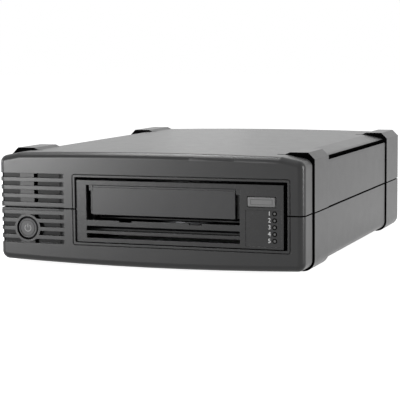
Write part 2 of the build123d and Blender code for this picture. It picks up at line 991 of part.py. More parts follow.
# Rear panel
rear_outline_inset = -wall - panel_fit
panel_screw_z = tray_top + panel_screw_rise
panel_screw_xs = (inlet_x, data_x, tray_half_width - panel_screw_from_edge)
with BuildPart() as rear_panel:
    with BuildSketch(seen_from_front(panel_y)):
        offset(outer_section.sketch, amount=rear_outline_inset)
        with BuildSketch(mode=Mode.PRIVATE) as grille:
            with Locations((fan_x, fan_z)):
                with GridLocations(0, louvre_pitch, 1, 9):
                    SlotOverall(fan_size, louvre_gap)
        with BuildSketch(mode=Mode.PRIVATE) as fan_round:
            with Locations((fan_x, fan_z)):
                Circle(fan_bore_radius)
                Rectangle(louvre_gap, fan_size, mode=Mode.SUBTRACT)
        add(grille.sketch & fan_round.sketch, mode=Mode.SUBTRACT)
        with Locations((fan_x, fan_z)):
            with GridLocations(fan_hole_spacing, fan_hole_spacing, 2, 2):
                Circle(fan_screw_radius + screw_clearance, mode=Mode.SUBTRACT)
        with Locations((inlet_x, inlet_height)):
            Rectangle(
                inlet_width + panel_fit, inlet_tall + panel_fit, mode=Mode.SUBTRACT
            )
        with Locations((data_x, data_board_top + data_tall / 2)):
            Rectangle(data_width + panel_fit, data_tall + panel_fit, mode=Mode.SUBTRACT)
        with Locations(*[(x, panel_screw_z) for x in panel_screw_xs]):
            Circle(drive_screw_radius + screw_clearance, mode=Mode.SUBTRACT)
    extrude(amount=-rear_panel_thickness)
rear_panel.part.label = "rear_panel"

with BuildPart() as rear_panel_screws:
    for x in panel_screw_xs:
        rod_along(x, panel_y - panel_screw_length, outer_face, panel_screw_z, drive_screw_radius)
        rod_along(
            x, outer_face, outer_face + screw_head_height, panel_screw_z, screw_head_radius
        )
rear_panel_screws.part.label = "rear_panel_screws"

# Chassis tray, with a rear flange for the panel and two tabs for the data socket's board
with BuildPart() as chassis_tray:
    block((-tray_half_width, tray_front, tray_top - sheet), (tray_half_width, panel_y, tray_top))
    block(
        (fan_x + fan_size / 2 + tray_flange_from_fan, panel_y - sheet, tray_top),
        (tray_half_width, panel_y, tray_top + tray_flange_height),
    )
    for x in panel_screw_xs:
        rod_along(
            x,
            panel_y - sheet - 1,
            panel_y + 1,
            panel_screw_z,
            drive_screw_radius + screw_clearance,
            mode=Mode.SUBTRACT,
        )
    for side in (-1, 1):
        tab_x = data_x + side * data_width / 2
        block(
            (tab_x - sheet / 2, panel_y - data_depth, tray_top),
            (tab_x + sheet / 2, panel_y - data_tab_gap, data_board_top - board_thickness),
        )
chassis_tray.part.label = "chassis_tray"


def drive_rail(inner_x, side):
    """Makes the L-shaped rail whose upright lies against the drive at inner_x."""
    outer_x = inner_x + side * sheet
    toe_x = inner_x + side * rail_foot
    with BuildPart() as rail:
        with BuildSketch(seen_from_front(rail_front)):
            panel(min(inner_x, outer_x), max(inner_x, outer_x), tray_top, tray_top + rail_height)
            panel(min(inner_x, toe_x), max(inner_x, toe_x), tray_top, tray_top + sheet)
        extrude(amount=-rail_length)
        for y in drive_screw_ys:
            rod_across(
                inner_x - 2 * sheet,
                inner_x + 2 * sheet,
                y,
                drive_screw_z,
                drive_screw_radius + screw_clearance,
                mode=Mode.SUBTRACT,
            )
    return rail


drive_screw_ys = (
    drive_front + drive_screw_first,
    drive_front + drive_screw_first + drive_screw_spacing,
)
drive_screw_z = drive_bottom + drive_screw_height
left_drive_rail = drive_rail(base_left, -1)
left_drive_rail.part.label = "left_drive_rail"
right_drive_rail = drive_rail(base_right, 1)
right_drive_rail.part.label = "right_drive_rail"

with BuildPart() as drive_screws:
    for y in drive_screw_ys:
        for inner_x, side in ((base_left, -1), (base_right, 1)):
            seat = inner_x + side * sheet
            tip = inner_x - side * base_wall
            head = seat + side * screw_head_height
            rod_across(min(seat, tip), max(seat, tip), y, drive_screw_z, drive_screw_radius)
            rod_across(min(seat, head), max(seat, head), y, drive_screw_z, screw_head_radius)
drive_screws.part.label = "drive_screws"

# Fan
rotor_front = fan_y + fan_strut_depth + fan_rotor_front_gap
rotor_back = panel_y - fan_rotor_rear_gap
with BuildPart() as fan_frame:
    with BuildSketch(seen_from_front(fan_y)):
        with Locations((fan_x, fan_z)):
            RectangleRounded(fan_size, fan_size, fan_corner)
            Circle(fan_bore_radius, mode=Mode.SUBTRACT)
            with GridLocations(fan_hole_spacing, fan_hole_spacing, 2, 2):
                Circle(fan_screw_radius + screw_clearance, mode=Mode.SUBTRACT)
    extrude(amount=-fan_depth)
    with BuildSketch(seen_from_front(fan_y)):
        with Locations((fan_x, fan_z)):
            Circle(fan_hub_radius)
            with PolarLocations(0, 4, start_angle=45):
                with Locations((fan_bore_radius / 2, 0)):
                    Rectangle(fan_bore_radius + fan_rim, fan_strut_width)
    extrude(amount=-fan_strut_depth)
    rod_along(fan_x, fan_y, rotor_back - fan_rotor_rear_gap, fan_z, fan_shaft_radius)
fan_frame.part.label = "fan_frame"

with BuildPart() as fan_rotor:
    rod_along(fan_x, rotor_front, rotor_back, fan_z, fan_hub_radius)
    blade_length = fan_bore_radius - fan_tip_gap - fan_hub_radius + fan_blade_thickness
    for number in range(fan_blades):
        turn = radians(360 / fan_blades * number)
        reach = fan_hub_radius - fan_blade_thickness + blade_length / 2
        place = Location(
            (
                fan_x + reach * cos(turn),
                (rotor_front + rotor_back) / 2,
                fan_z + reach * sin(turn),
            ),
            (0, -360 / fan_blades * number, 0),
        )
        with BuildPart(Plane(place), mode=Mode.PRIVATE) as blade:
            Box(
                blade_length,
                rotor_back - rotor_front,
                fan_blade_thickness,
                rotation=(fan_blade_pitch, 0, 0),
            )
        add(blade.part)
    rod_along(
        fan_x,
        rotor_front,
        rotor_back,
        fan_z,
        fan_shaft_radius + running_gap,
        mode=Mode.SUBTRACT,
    )
fan_rotor.part.label = "fan_rotor"

with BuildPart() as fan_screws:
    for x in (fan_x - fan_hole_spacing / 2, fan_x + fan_hole_spacing / 2):
        for z in (fan_z - fan_hole_spacing / 2, fan_z + fan_hole_spacing / 2):
            rod_along(x, fan_y + fan_screw_from_front, outer_face, z, fan_screw_radius)
            rod_along(x, outer_face, outer_face + screw_head_height, z, screw_head_radius)
fan_screws.part.label = "fan_screws"

# Mains inlet: a three-blade socket with two cut corners
with BuildPart() as ac_inlet:
    inlet_back = outer_face - inlet_depth
    with BuildSketch(seen_from_front(inlet_back)):
        with Locations((inlet_x, inlet_height)):
            Rectangle(inlet_width, inlet_tall)
    extrude(amount=-(inlet_depth + inlet_flange))
    with BuildSketch(seen_from_front(outer_face)):
        with Locations((inlet_x, inlet_height)):
            RectangleRounded(
                inlet_width + 2 * inlet_flange_rim,
                inlet_tall + 2 * inlet_flange_rim,
                inlet_corner,
            )
    extrude(amount=-inlet_flange)
    with BuildSketch(seen_from_front(outer_face + inlet_flange)) as socket_mouth:
        with Locations((inlet_x, inlet_height)):
            Rectangle(inlet_width - 2 * inlet_wall, inlet_tall - 2 * inlet_wall)
        chamfer(socket_mouth.vertices().group_by(Axis.Y)[-1], inlet_cut_corner)
    extrude(amount=inlet_socket_depth, mode=Mode.SUBTRACT)
ac_inlet.part.label = "ac_inlet"

with BuildPart() as inlet_contacts:
    blade_tip = outer_face - inlet_blade_recess
    socket_floor = outer_face + inlet_flange - inlet_socket_depth
    for x, z in (
        (inlet_x, inlet_height + blade_rise),
        (inlet_x - blade_spread, inlet_height - blade_rise),
        (inlet_x + blade_spread, inlet_height - blade_rise),
    ):
        block(
            (x - blade_width / 2, socket_floor, z - blade_height / 2),
            (x + blade_width / 2, blade_tip, z + blade_height / 2),
        )
inlet_contacts.part.label = "inlet_contacts"

# Data socket: a cage with two ports, each round a contact tongue
with BuildPart() as data_socket_cage:
    cage_front = outer_face + data_proud - data_depth
    data_z = data_board_top + data_tall / 2
    with BuildSketch(seen_from_front(cage_front)):
        with Locations((data_x, data_z)):
            Rectangle(data_width, data_tall)
            port_width = (data_width - 3 * cage_wall) / 2
            with GridLocations(port_width + cage_wall, 0, 2, 1):
                Rectangle(port_width, data_tall - 2 * cage_wall, mode=Mode.SUBTRACT)
    extrude(amount=-data_depth)
    block(
        (data_x - data_width / 2, cage_front, data_board_top),
        (data_x + data_width / 2, cage_front + cage_wall, data_board_top + data_tall),
    )
    port_offset = (port_width + cage_wall) / 2
    tongue_low = data_board_top + tongue_margin
    for x in (data_x - port_offset, data_x + port_offset):
        block(
            (x - port_width / 2 + tongue_margin, cage_front, tongue_low),
            (
                x + port_width / 2 - tongue_margin,
                outer_face - tongue_margin,
                tongue_low + tongue_thickness,
            ),
        )
data_socket_cage.part.label = "data_socket_cage"

with BuildPart() as data_socket_board:
    block(
        (
            data_x - data_width / 2 - data_board_margin,
            panel_y - data_depth - data_board_behind,
            data_board_top - board_thickness,
        ),
        (
            data_x + data_width / 2 + data_board_margin,
            panel_y - panel_fit,
            data_board_top,
        ),
    )
data_socket_board.part.label = "data_socket_board"

# Power supply on its board
psu_top = tray_top + psu_spacer_height + board_thickness
psu_x = (psu_left + psu_right) / 2
mains_header_x = psu_left + header_from_edge
fan_header_x = psu_x
output_header_x = psu_right - header_from_edge
header_z = psu_top + header_height / 2

with BuildPart() as psu_board:
    block(
        (psu_left, psu_front, psu_top - board_thickness), (psu_right, psu_rear, psu_top)
    )
psu_board.part.label = "psu_board"

with BuildPart() as psu_spacers:
    with BuildSketch(seen_from_above(tray_top)):
        for x in (psu_left + psu_spacer_inset_x, psu_right - psu_spacer_inset_x):
            for y in (psu_front + psu_spacer_inset_y, psu_rear - psu_spacer_inset_y):
                with Locations((x, y)):
                    RegularPolygon(psu_spacer_radius, 6)
    extrude(amount=psu_spacer_height)
psu_spacers.part.label = "psu_spacers"

with BuildPart() as psu_transformer:
    transformer_y = psu_front + transformer_share * psu_length
    core_half = psu_width / 2 - transformer_edge
    core_front = transformer_y - transformer_length / 2
    core_rear = transformer_y + transformer_length / 2
    window_low = psu_top + transformer_yoke
    window_high = window_low + transformer_window
    for low_z, high_z in (
        (psu_top, window_low),
        (window_high, window_high + transformer_yoke),
    ):
        block(
            (psu_x - core_half, core_front, low_z), (psu_x + core_half, core_rear, high_z)
        )
    for low_y in (core_front, core_rear - transformer_leg):
        block(
            (psu_x - core_half, low_y, window_low),
            (psu_x + core_half, low_y + transformer_leg, window_high),
        )
    block(
        (psu_x - core_half + winding_inset, transformer_y - winding_length / 2, window_low),
        (psu_x + core_half - winding_inset, transformer_y + winding_length / 2, window_high),
    )
psu_transformer.part.label = "psu_transformer"

with BuildPart() as psu_capacitors:
    large_radius = psu_width / 2 - capacitor_edge
    large_y = psu_front + capacitor_share * psu_length
    disc(psu_x, large_y, psu_top, psu_top + capacitor_height, large_radius)
    for share in small_capacitor_shares:
        small_y = psu_front + share * psu_length
        disc(
            psu_x, small_y, psu_top, psu_top + small_capacitor_height, small_capacitor_radius
        )
psu_capacitors.part.label = "psu_capacitors"

with BuildPart() as psu_connectors:
    for x, width in (
        (mains_header_x, header_width),
        (fan_header_x, header_width / 2),
        (output_header_x, header_width),
    ):
        block(
            (x - width / 2, psu_rear - header_length, psu_top),
            (x + width / 2, psu_rear, psu_top + header_height),
        )
    block(
        (psu_x - header_width / 4, psu_front, psu_top),
        (psu_x + header_width / 4, psu_front + header_length, psu_top + header_height),
    )
psu_connectors.part.label = "psu_connectors"

with BuildPart() as psu_heatsinks:
    plate_width = psu_width - 2 * heatsink_edge
    fin_pitch = (plate_width - heatsink_fin_thickness) / (heatsink_fins - 1)
    for share in heatsink_shares:
        with BuildSketch(seen_from_above(psu_top)):
            with Locations((psu_x, psu_front + share * psu_length)):
                Rectangle(plate_width, heatsink_plate)
                with Locations((0, heatsink_fin_length / 2)):
                    with GridLocations(fin_pitch, 0, heatsink_fins, 1):
                        Rectangle(heatsink_fin_thickness, heatsink_fin_length)
        extrude(amount=heatsink_height)
psu_heatsinks.part.label = "psu_heatsinks"

# Drive base casting: floor, walls, guide walls for the tray's pins and board bosses
board_boss_places = [
    (x, y)
    for x in (base_left + board_boss_inset, base_right - board_boss_inset)
    for y in (drive_front + board_boss_from_front, drive_rear - board_boss_from_rear)
]
board_top = floor_bottom - board_below_floor
connector_windows = [
    (base_left + start, base_left + start + width)
    for start, width in (
        (power_window_from_left, power_window_width),
        (data_window_from_left, data_window_width),
    )
]
connector_top = floor_top + connector_rise

with BuildPart() as drive_base:
    base_bottom = drive_bottom + cover_sheet
    with BuildSketch(seen_from_above(base_bottom)):
        panel(base_left, base_right, drive_front, drive_rear)
        panel(
            base_left + base_wall,
            base_right - base_wall,
            drive_front,
            drive_rear - base_wall,
            mode=Mode.SUBTRACT,
        )
    extrude(amount=lid_bottom - base_bottom)
    block((base_left, drive_front, floor_bottom), (base_right, drive_rear, floor_top))
    block(
        (panel_left, drive_front, floor_bottom),
        (base_right - base_wall, panel_board_front + 2 * board_thickness, floor_top),
        mode=Mode.SUBTRACT,
    )
    guide_top = pin_z + pin_radius + cam_upper + guide_top_gap
    for low_x, high_x in (
        (base_left + base_wall, guide_left),
        (guide_right, guide_right + guide_sheet),
    ):
        block(
            (low_x, cartridge_front - guide_end_gap, floor_top),
            (high_x, cartridge_rear + guide_end_gap, guide_top),
        )
    for y in pin_ys:
        for low_x, high_x in (
            (guide_left - guide_slot_deep, guide_left),
            (guide_right, guide_right + guide_sheet),
        ):
            slot_low = pin_z - tray_drop - pin_radius - guide_slot_end
            block(
                (low_x, y - pin_radius - pin_clearance, slot_low),
                (high_x, y + pin_radius + pin_clearance, guide_top),
                mode=Mode.SUBTRACT,
            )
    rod_across(
        guide_right,
        guide_right + guide_sheet,
        gear_y,
        gear_z,
        hub_radius + hub_hole_gap,
        mode=Mode.SUBTRACT,
    )
    for x, y in board_boss_places:
        disc(x, y, board_top, floor_bottom, board_boss_radius)
    for low_x, high_x in connector_windows:
        block(
            (low_x, drive_rear - connector_depth, base_bottom),
            (high_x, drive_rear, connector_top + window_gap),
            mode=Mode.SUBTRACT,
        )
    for y in drive_screw_ys:
        for low_x in (base_left - 1, base_right - base_wall - 1):
            rod_across(
                low_x,
                low_x + base_wall + 2,
                y,
                drive_screw_z,
                drive_screw_radius + screw_clearance,
                mode=Mode.SUBTRACT,
            )
drive_base.part.label = "drive_base"

with BuildPart() as drive_bottom_cover:
    block((base_left, drive_front, drive_bottom), (base_right, drive_rear, base_bottom))
drive_bottom_cover.part.label = "drive_bottom_cover"

with BuildPart() as drive_top_cover:
    with BuildSketch(seen_from_front(drive_front)):
        panel(drive_left, drive_right, lid_bottom, drive_top)
        panel(drive_left, base_left, drive_top - cover_flange, lid_bottom)
        panel(base_right, drive_right, drive_top - cover_flange, lid_bottom)
    extrude(amount=-drive_depth)
drive_top_cover.part.label = "drive_top_cover"

# Bezel
eject_left = slot_right + eject_from_slot
eject_low = bezel_bottom + eject_bottom
eject_x = eject_left + eject_width / 2
eject_z = eject_low + eject_height / 2
led_x = slot_right + led_from_slot
led_zs = [bezel_bottom + led_top - number * led_pitch for number in range(led_count)]
plate_back = bezel_front + bezel_plate
lip_bottom = slot_bottom - bezel_slot_below_lip

with BuildPart() as drive_bezel:
    with BuildSketch(seen_from_front(bezel_front)):
        panel(bezel_left, bezel_right, bezel_bottom, bezel_top)
    extrude(amount=-bezel_depth)
    block(
        (bezel_left + bezel_rim, plate_back, bezel_bottom + bezel_rim),
        (bezel_right - bezel_rim, bezel_back, bezel_top - bezel_rim),
        mode=Mode.SUBTRACT,
    )
    block(
        (slot_left, bezel_front, slot_bottom), (slot_right, plate_back, slot_top), mode=Mode.SUBTRACT
    )
    block(
        (slot_left, bezel_front + slot_skin, slot_top),
        (slot_right, plate_back, slot_top + slot_relief),
        mode=Mode.SUBTRACT,
    )
    for notch in (slot_left + lip_notch_left, slot_left + lip_notch_right):
        block(
            (notch, bezel_front, slot_bottom - lip_notch_depth),
            (notch + lip_notch_width, plate_back, slot_bottom),
            mode=Mode.SUBTRACT,
        )
    for number in range(2):
        slot_high = lip_bottom - number * (bezel_slot_height + bezel_slot_rib)
        block(
            (slot_left, bezel_front, slot_high - bezel_slot_height),
            (slot_right, plate_back, slot_high),
            mode=Mode.SUBTRACT,
        )
    for low_x, high_x in (
        (door_left - cheek_gap - cheek_width, door_left - cheek_gap),
        (door_right + cheek_gap, door_right + cheek_gap + cheek_width),
    ):
        block(
            (low_x, bezel_front + slot_skin, door_top - cheek_lug),
            (high_x, bezel_front + cheek_depth, slot_top + slot_relief),
        )
        block(
            (low_x, bezel_front + cheek_recess, door_bottom),
            (high_x, bezel_front + cheek_depth, door_top),
        )
    rod_across(
        slot_left,
        slot_right,
        door_axis_y,
        door_axis_z,
        door_pin_radius + running_gap,
        mode=Mode.SUBTRACT,
    )
    block(
        (slot_right + label_from_slot, bezel_front, bezel_bottom + bezel_rim),
        (bezel_right - bezel_rim, bezel_front + label_depth, bezel_bottom + label_top),
        mode=Mode.SUBTRACT,
    )
    block(
        (eject_left - eject_gap, bezel_front, eject_low - eject_gap),
        (eject_left + eject_width + eject_gap, plate_back, eject_low + eject_height + eject_gap),
        mode=Mode.SUBTRACT,
    )
    for z in led_zs:
        rod_along(
            led_x, bezel_front - 1, plate_back + 1, z, led_radius + led_gap, mode=Mode.SUBTRACT
        )
    for x, z in (
        (panel_left + peg_inset_x, bezel_bottom + peg_inset_z),
        (bezel_right - far_peg_inset_x, bezel_top - far_peg_inset_z),
    ):
        rod_along(x, plate_back, panel_board_front, z, peg_radius)
drive_bezel.part.label = "drive_bezel"

# Slot door: a plate that hangs on two pins under the slot's top edge
with BuildPart() as slot_door:
    with BuildSketch(seen_from_right(door_left)):
        panel(bezel_front, bezel_front + door_thickness, door_bottom, door_top)
        panel(
            door_axis_y - door_barrel_radius,
            bezel_front + door_thickness,
            door_top - door_web,
            door_axis_z,
        )
        with Locations((door_axis_y, door_axis_z)):
            Circle(door_barrel_radius)
    extrude(amount=door_width)
    rod_across(
        door_left - door_pin_length,
        door_right + door_pin_length,
        door_axis_y,
        door_axis_z,
        door_pin_radius,
    )
slot_door.part.label = "slot_door"

# Eject button
with BuildPart() as eject_button:
    cap_y = bezel_front - eject_proud
    flange_front = plate_back + panel_fit
    block(
        (eject_left, cap_y, eject_low),
        (eject_left + eject_width, flange_front, eject_low + eject_height),
    )
    fillet(eject_button.edges().filter_by(Axis.Y), eject_corner)
    chamfer(eject_button.faces().sort_by(Axis.Y)[0].edges(), eject_edge)
    block(
        (eject_left - eject_flange_rim, flange_front, eject_low - eject_flange_rim),
        (
            eject_left + eject_width + eject_flange_rim,
            flange_front + eject_flange,
            eject_low + eject_height + eject_flange_rim,
        ),
    )
    stem_end = panel_board_front - eject_switch - eject_travel - eject_switch_gap
    rod_along(eject_x, flange_front, stem_end, eject_z, eject_stem_radius)
eject_button.part.label = "eject_button"

# Light pipes and the small board behind the control panel
with BuildPart() as status_light_pipes:
    for z in led_zs:
        rod_along(led_x, bezel_front + led_recess, panel_board_front, z, led_radius)
status_light_pipes.part.label = "status_light_pipes"

with BuildPart() as front_panel_board:
    block(
        (
            panel_left + panel_board_margin,
            panel_board_front,
            bezel_bottom + panel_board_margin,
        ),
        (
            base_right - base_wall - panel_board_wall_gap,
            panel_board_front + board_thickness,
            bezel_top - panel_board_margin,
        ),
    )
    block(
        (eject_x - eject_switch, panel_board_front - eject_switch, eject_z - eject_switch),
        (eject_x + eject_switch, panel_board_front, eject_z + eject_switch),
    )
front_panel_board.part.label = "front_panel_board"

# Main board under the casting's floor, with its chips and rear connectors
with BuildPart() as main_board:
    block(
        (
            base_left + base_wall + board_side_gap,
            drive_front + board_front_gap,
            board_top - board_thickness,
        ),
        (base_right - base_wall - board_side_gap, drive_rear - board_rear_gap, board_top),
    )
main_board.part.label = "main_board"

with BuildPart() as main_board_chips:
    for (share_x, share_y), size in zip(chip_shares, chip_sizes):
        x = (drive_left + drive_right) / 2 + share_x * drive_width
        y = (drive_front + drive_rear) / 2 + share_y * drive_depth
        block(
            (x - size / 2, y - size / 2, board_top),
            (x + size / 2, y + size / 2, board_top + chip_height),
        )
main_board_chips.part.label = "main_board_chips"

with BuildPart() as drive_rear_connectors:
    for low_x, high_x in connector_windows:
        block(
            (low_x + window_gap, drive_rear - connector_depth + window_gap, board_top),
            (high_x - window_gap, drive_rear, connector_top),
        )
drive_rear_connectors.part.label = "drive_rear_connectors"

# Cartridge tray with four guide pins
with BuildPart() as cartridge_tray:
    tray_top_z = tray_bottom + tray_height
    with BuildSketch(seen_from_front(cartridge_front)):
        panel(tray_left, tray_right, tray_bottom, tray_top_z)
        panel(
            tray_left + tray_sheet,
            tray_right - tray_sheet,
            tray_floor_top,
            tray_top_z - tray_sheet,
            mode=Mode.SUBTRACT,
        )
        panel(
            tray_left + tray_lip,
            tray_right - tray_lip,
            tray_top_z - tray_sheet,
            tray_top_z,
            mode=Mode.SUBTRACT,
        )
    extrude(amount=-cartridge_tray_length)
    block(
        (tray_left, cartridge_rear - tray_sheet, tray_bottom),
        (tray_right, cartridge_rear, tray_bottom + tray_height / 2),
    )
    disc(slot_x, spindle_y, tray_bottom, tray_floor_top, tray_hole_radius, Mode.SUBTRACT)
    for y in pin_ys:
        rod_across(guide_left - pin_in_guide, tray_left, y, pin_z, pin_radius)
        rod_across(tray_right, guide_right + guide_sheet, y, pin_z, pin_radius)
cartridge_tray.part.label = "cartridge_tray"


# Loader slide: two cam plates, each with two sloping slots, joined by a strap over the tray
rack_pitch = rack_module * pi
rack_height = rack_module * 1.6
rack_flank = 72
cam_top = pin_z + pin_radius + cam_upper
cam_bottom = pin_z - tray_drop - pin_radius - cam_end
cam_front = pin_ys[0] - slide_travel - pin_radius - cam_end
cam_rear = pin_ys[1] + pin_radius + cam_end
rack_clear = pinion_radius + rack_height
rack_rear = gear_y + rack_clear
rack_front = gear_y - slide_travel - rack_clear
rack_ahead = int((slide_travel + rack_clear) / rack_pitch)


def cam_profile(with_rack):
    """A cam plate seen from the right, with a row of rack teeth if it has them."""
    rack_root = rack_z + rack_height / 2
    with BuildSketch() as profile:
        panel(cam_front, cam_rear, cam_bottom, cam_top)
        panel(rack_front, rack_rear, cam_bottom, rack_root, mode=Mode.SUBTRACT)
        if with_rack:
            for number in range(-rack_ahead, 2):
                with Locations((gear_y + rack_pitch * number, rack_root)):
                    Trapezoid(
                        0.62 * rack_pitch,
                        rack_height,
                        rack_flank,
                        rotation=180,
                        align=(Align.CENTER, Align.MIN),
                    )
        for y in pin_ys:
            with BuildLine(mode=Mode.PRIVATE) as centre_line:
                Line((y, pin_z), (y - slide_travel, pin_z - tray_drop))
            SlotArc(
                centre_line.line.edges()[0],
                2 * (pin_radius + pin_clearance),
                mode=Mode.SUBTRACT,
            )
    return profile.sketch


with BuildPart() as loader_slide:
    with BuildSketch(seen_from_right(cam_left)):
        add(cam_profile(False))
    extrude(amount=cam_sheet)
    with BuildSketch(seen_from_right(cam_right - cam_sheet)):
        add(cam_profile(True))
    extrude(amount=cam_sheet)
    strap_low = tray_bottom + tray_height + strap_gap
    strap_front = cam_rear - strap_width
    for low_x in (cam_left, cam_right - cam_sheet):
        block((low_x, strap_front, cam_top), (low_x + cam_sheet, cam_rear, strap_low + cam_sheet))
    block((cam_left, strap_front, strap_low), (cam_right, cam_rear, strap_low + cam_sheet))
loader_slide.part.label = "loader_slide"


# Gears
def gear_outline(module, teeth, first_angle):
    """A straight-flanked gear about the sketch's origin, with one tooth at first_angle."""
    pitch_radius = module * teeth / 2
    tip = pitch_radius + 0.8 * module
    root = pitch_radius - 1.1 * module
    step = 360 / teeth
    rim = []
    for number in range(teeth):
        for share, radius in ((-0.31, root), (-0.10, tip), (0.10, tip), (0.31, root)):
            angle = radians(first_angle + step * (number + share))
            rim.append((radius * cos(angle), radius * sin(angle)))
    with BuildSketch() as outline:
        with BuildLine():
            Polyline(*rim, close=True)
        make_face()
    return outline.sketch


def gear_plane(x, y, z):
    """The plane at a gear's centre, facing +X, whose sketch shows Y to the right and Z up."""
    return Plane(origin=(x, y, z), x_dir=(0, 1, 0), z_dir=(1, 0, 0))


# The pinion's uppermost space holds a tooth of the rack
with BuildPart() as loader_gear:
    pinion_left = cam_right - cam_sheet - gear_side_gap
    with BuildSketch(gear_plane(pinion_left, gear_y, gear_z)):
        add(gear_outline(rack_module, pinion_teeth, 90 + 180 / pinion_teeth))
    extrude(amount=cam_sheet + 2 * gear_side_gap)
    rod_across(pinion_left, wheel_x, gear_y, gear_z, hub_radius)
    with BuildSketch(gear_plane(wheel_x, gear_y, gear_z)):
        add(gear_outline(train_module, wheel_teeth, 0))
    extrude(amount=gear_width)
    rod_across(
        pinion_left - 1,
        wheel_x + gear_width + 1,
        gear_y,
        gear_z,
        gear_pin_radius + running_gap,
        mode=Mode.SUBTRACT,
    )
loader_gear.part.label = "loader_gear"

with BuildPart() as motor_pinion:
    with BuildSketch(gear_plane(wheel_x, motor_y, gear_z)):
        add(gear_outline(train_module, motor_teeth, 180 / motor_teeth))
    extrude(amount=gear_width)
    rod_across(
        wheel_x + gear_width,
        bracket_x + motor_shaft_length,
        motor_y,
        gear_z,
        motor_shaft_radius,
    )
motor_pinion.part.label = "motor_pinion"

with BuildPart() as loader_motor:
    rod_across(bracket_x + sheet, bracket_x + sheet + motor_length, motor_y, gear_z, motor_radius)
    rod_across(
        bracket_x,
        bracket_x + motor_shaft_length + strap_gap,
        motor_y,
        gear_z,
        motor_shaft_radius + running_gap,
        mode=Mode.SUBTRACT,
    )
loader_motor.part.label = "loader_motor"

with BuildPart() as loader_bracket:
    bracket_front = gear_y - bracket_front_margin
    block(
        (bracket_x, bracket_front, floor_top),
        (bracket_x + sheet, motor_y + bracket_rear_margin, gear_z + motor_radius),
    )
    block(
        (bracket_x, bracket_front, floor_top),
        (bracket_x + bracket_toe, motor_y - motor_radius - sheet, floor_top + sheet),
    )
    rod_across(
        bracket_x, bracket_x + sheet, motor_y, gear_z, motor_shaft_radius * 3, Mode.SUBTRACT
    )
    rod_across(pinion_left, bracket_x + sheet, gear_y, gear_z, gear_pin_radius)
loader_bracket.part.label = "loader_bracket"

# Supply spindle under the cartridge and its flat motor
motor_top = floor_top + spindle_motor_height
with BuildPart() as supply_motor:
    disc(slot_x, spindle_y, floor_top, motor_top, spindle_motor_radius)
    disc(slot_x, spindle_y, motor_top, tray_bottom - post_below_tray, post_radius)
supply_motor.part.label = "supply_motor"

with BuildPart() as supply_spindle:
    spindle_low = motor_top + spindle_lift
    spindle_top = tray_bottom - spindle_below_tray
    disc(slot_x, spindle_y, spindle_low, spindle_top, spindle_radius)
    with BuildSketch(seen_from_above(spindle_top)):
        with Locations((slot_x, spindle_y)):
            with PolarLocations(spindle_radius - tooth_inset, spindle_teeth):
                Trapezoid(tooth_length, tooth_width, 75, rotation=-90)
    extrude(amount=tooth_height, taper=12)
    disc(
        slot_x,
        spindle_y,
        spindle_low - 1,
        tray_bottom,
        post_radius + running_gap,
        mode=Mode.SUBTRACT,
    )
supply_spindle.part.label = "supply_spindle"

# Take-up reel and its motor
reel_low = floor_top + reel_motor_height + reel_above_motor
reel_gap = tape_width + 2 * tape_side_gap
reel_top = reel_low + reel_gap + 2 * reel_flange
with BuildPart() as take_up_motor:
    disc(reel_x, reel_y, floor_top, floor_top + reel_motor_height, reel_motor_radius)
    disc(
        reel_x, reel_y, floor_top + reel_motor_height, reel_top + reel_post_rise, post_radius
    )
take_up_motor.part.label = "take_up_motor"

with BuildPart() as take_up_reel:
    with BuildSketch(seen_from_front(reel_y)):
        with BuildLine():
            Polyline(
                (reel_x + post_radius + running_gap, reel_low),
                (reel_x + reel_radius, reel_low),
                (reel_x + reel_radius, reel_low + reel_flange),
                (reel_x + reel_hub_radius, reel_low + reel_flange),
                (reel_x + reel_hub_radius, reel_top - reel_flange),
                (reel_x + reel_radius, reel_top - reel_flange),
                (reel_x + reel_radius, reel_top),
                (reel_x + post_radius + running_gap, reel_top),
                close=True,
            )
        make_face()
    revolve(axis=Axis((reel_x, reel_y, 0), (0, 0, 1)))
    for low_z in (reel_low, reel_top - reel_flange):
        with BuildSketch(seen_from_above(low_z)):
            with Locations((reel_x, reel_y)):
                with PolarLocations((reel_radius + reel_hub_radius) / 2, 3):
                    Circle((reel_radius - reel_hub_radius) / 3)
        extrude(amount=reel_flange, mode=Mode.SUBTRACT)
take_up_reel.part.label = "take_up_reel"

# Posts, guide rollers and the head on its carriage
roller_low = reel_low + reel_flange - roller_flange
roller_high = roller_low + reel_gap + 2 * roller_flange
post_top = roller_high + post_above_rollers
with BuildPart() as tape_path_posts:
    for x, y in zip(roller_x, roller_y):
        disc(x, y, floor_top, roller_low - roller_lift, 2 * roller_post_radius)
        disc(x, y, roller_low - roller_lift, post_top, roller_post_radius)
    for y in (head_y - head_post_spacing / 2, head_y + head_post_spacing / 2):
        disc(head_x, y, floor_top, post_top, roller_post_radius)
tape_path_posts.part.label = "tape_path_posts"


def guide_roller(x, y, label):
    """Makes a flanged roller that turns on its post."""
    bore = roller_post_radius + running_gap
    with BuildPart() as roller:
        with BuildSketch(seen_from_front(y)):
            with BuildLine():
                Polyline(
                    (x + bore, roller_low),
                    (x + roller_flange_radius, roller_low),
                    (x + roller_flange_radius, roller_low + roller_flange),
                    (x + roller_radius, roller_low + roller_flange),
                    (x + roller_radius, roller_high - roller_flange),
                    (x + roller_flange_radius, roller_high - roller_flange),
                    (x + roller_flange_radius, roller_high),
                    (x + bore, roller_high),
                    close=True,
                )
            make_face()
        revolve(axis=Axis((x, y, 0), (0, 0, 1)))
    roller.part.label = label
    return roller


roller_names = (
    "first_guide_roller",
    "second_guide_roller",
    "third_guide_roller",
    "fourth_guide_roller",
)
guide_rollers = [
    guide_roller(x, y, name) for x, y, name in zip(roller_x, roller_y, roller_names)
]

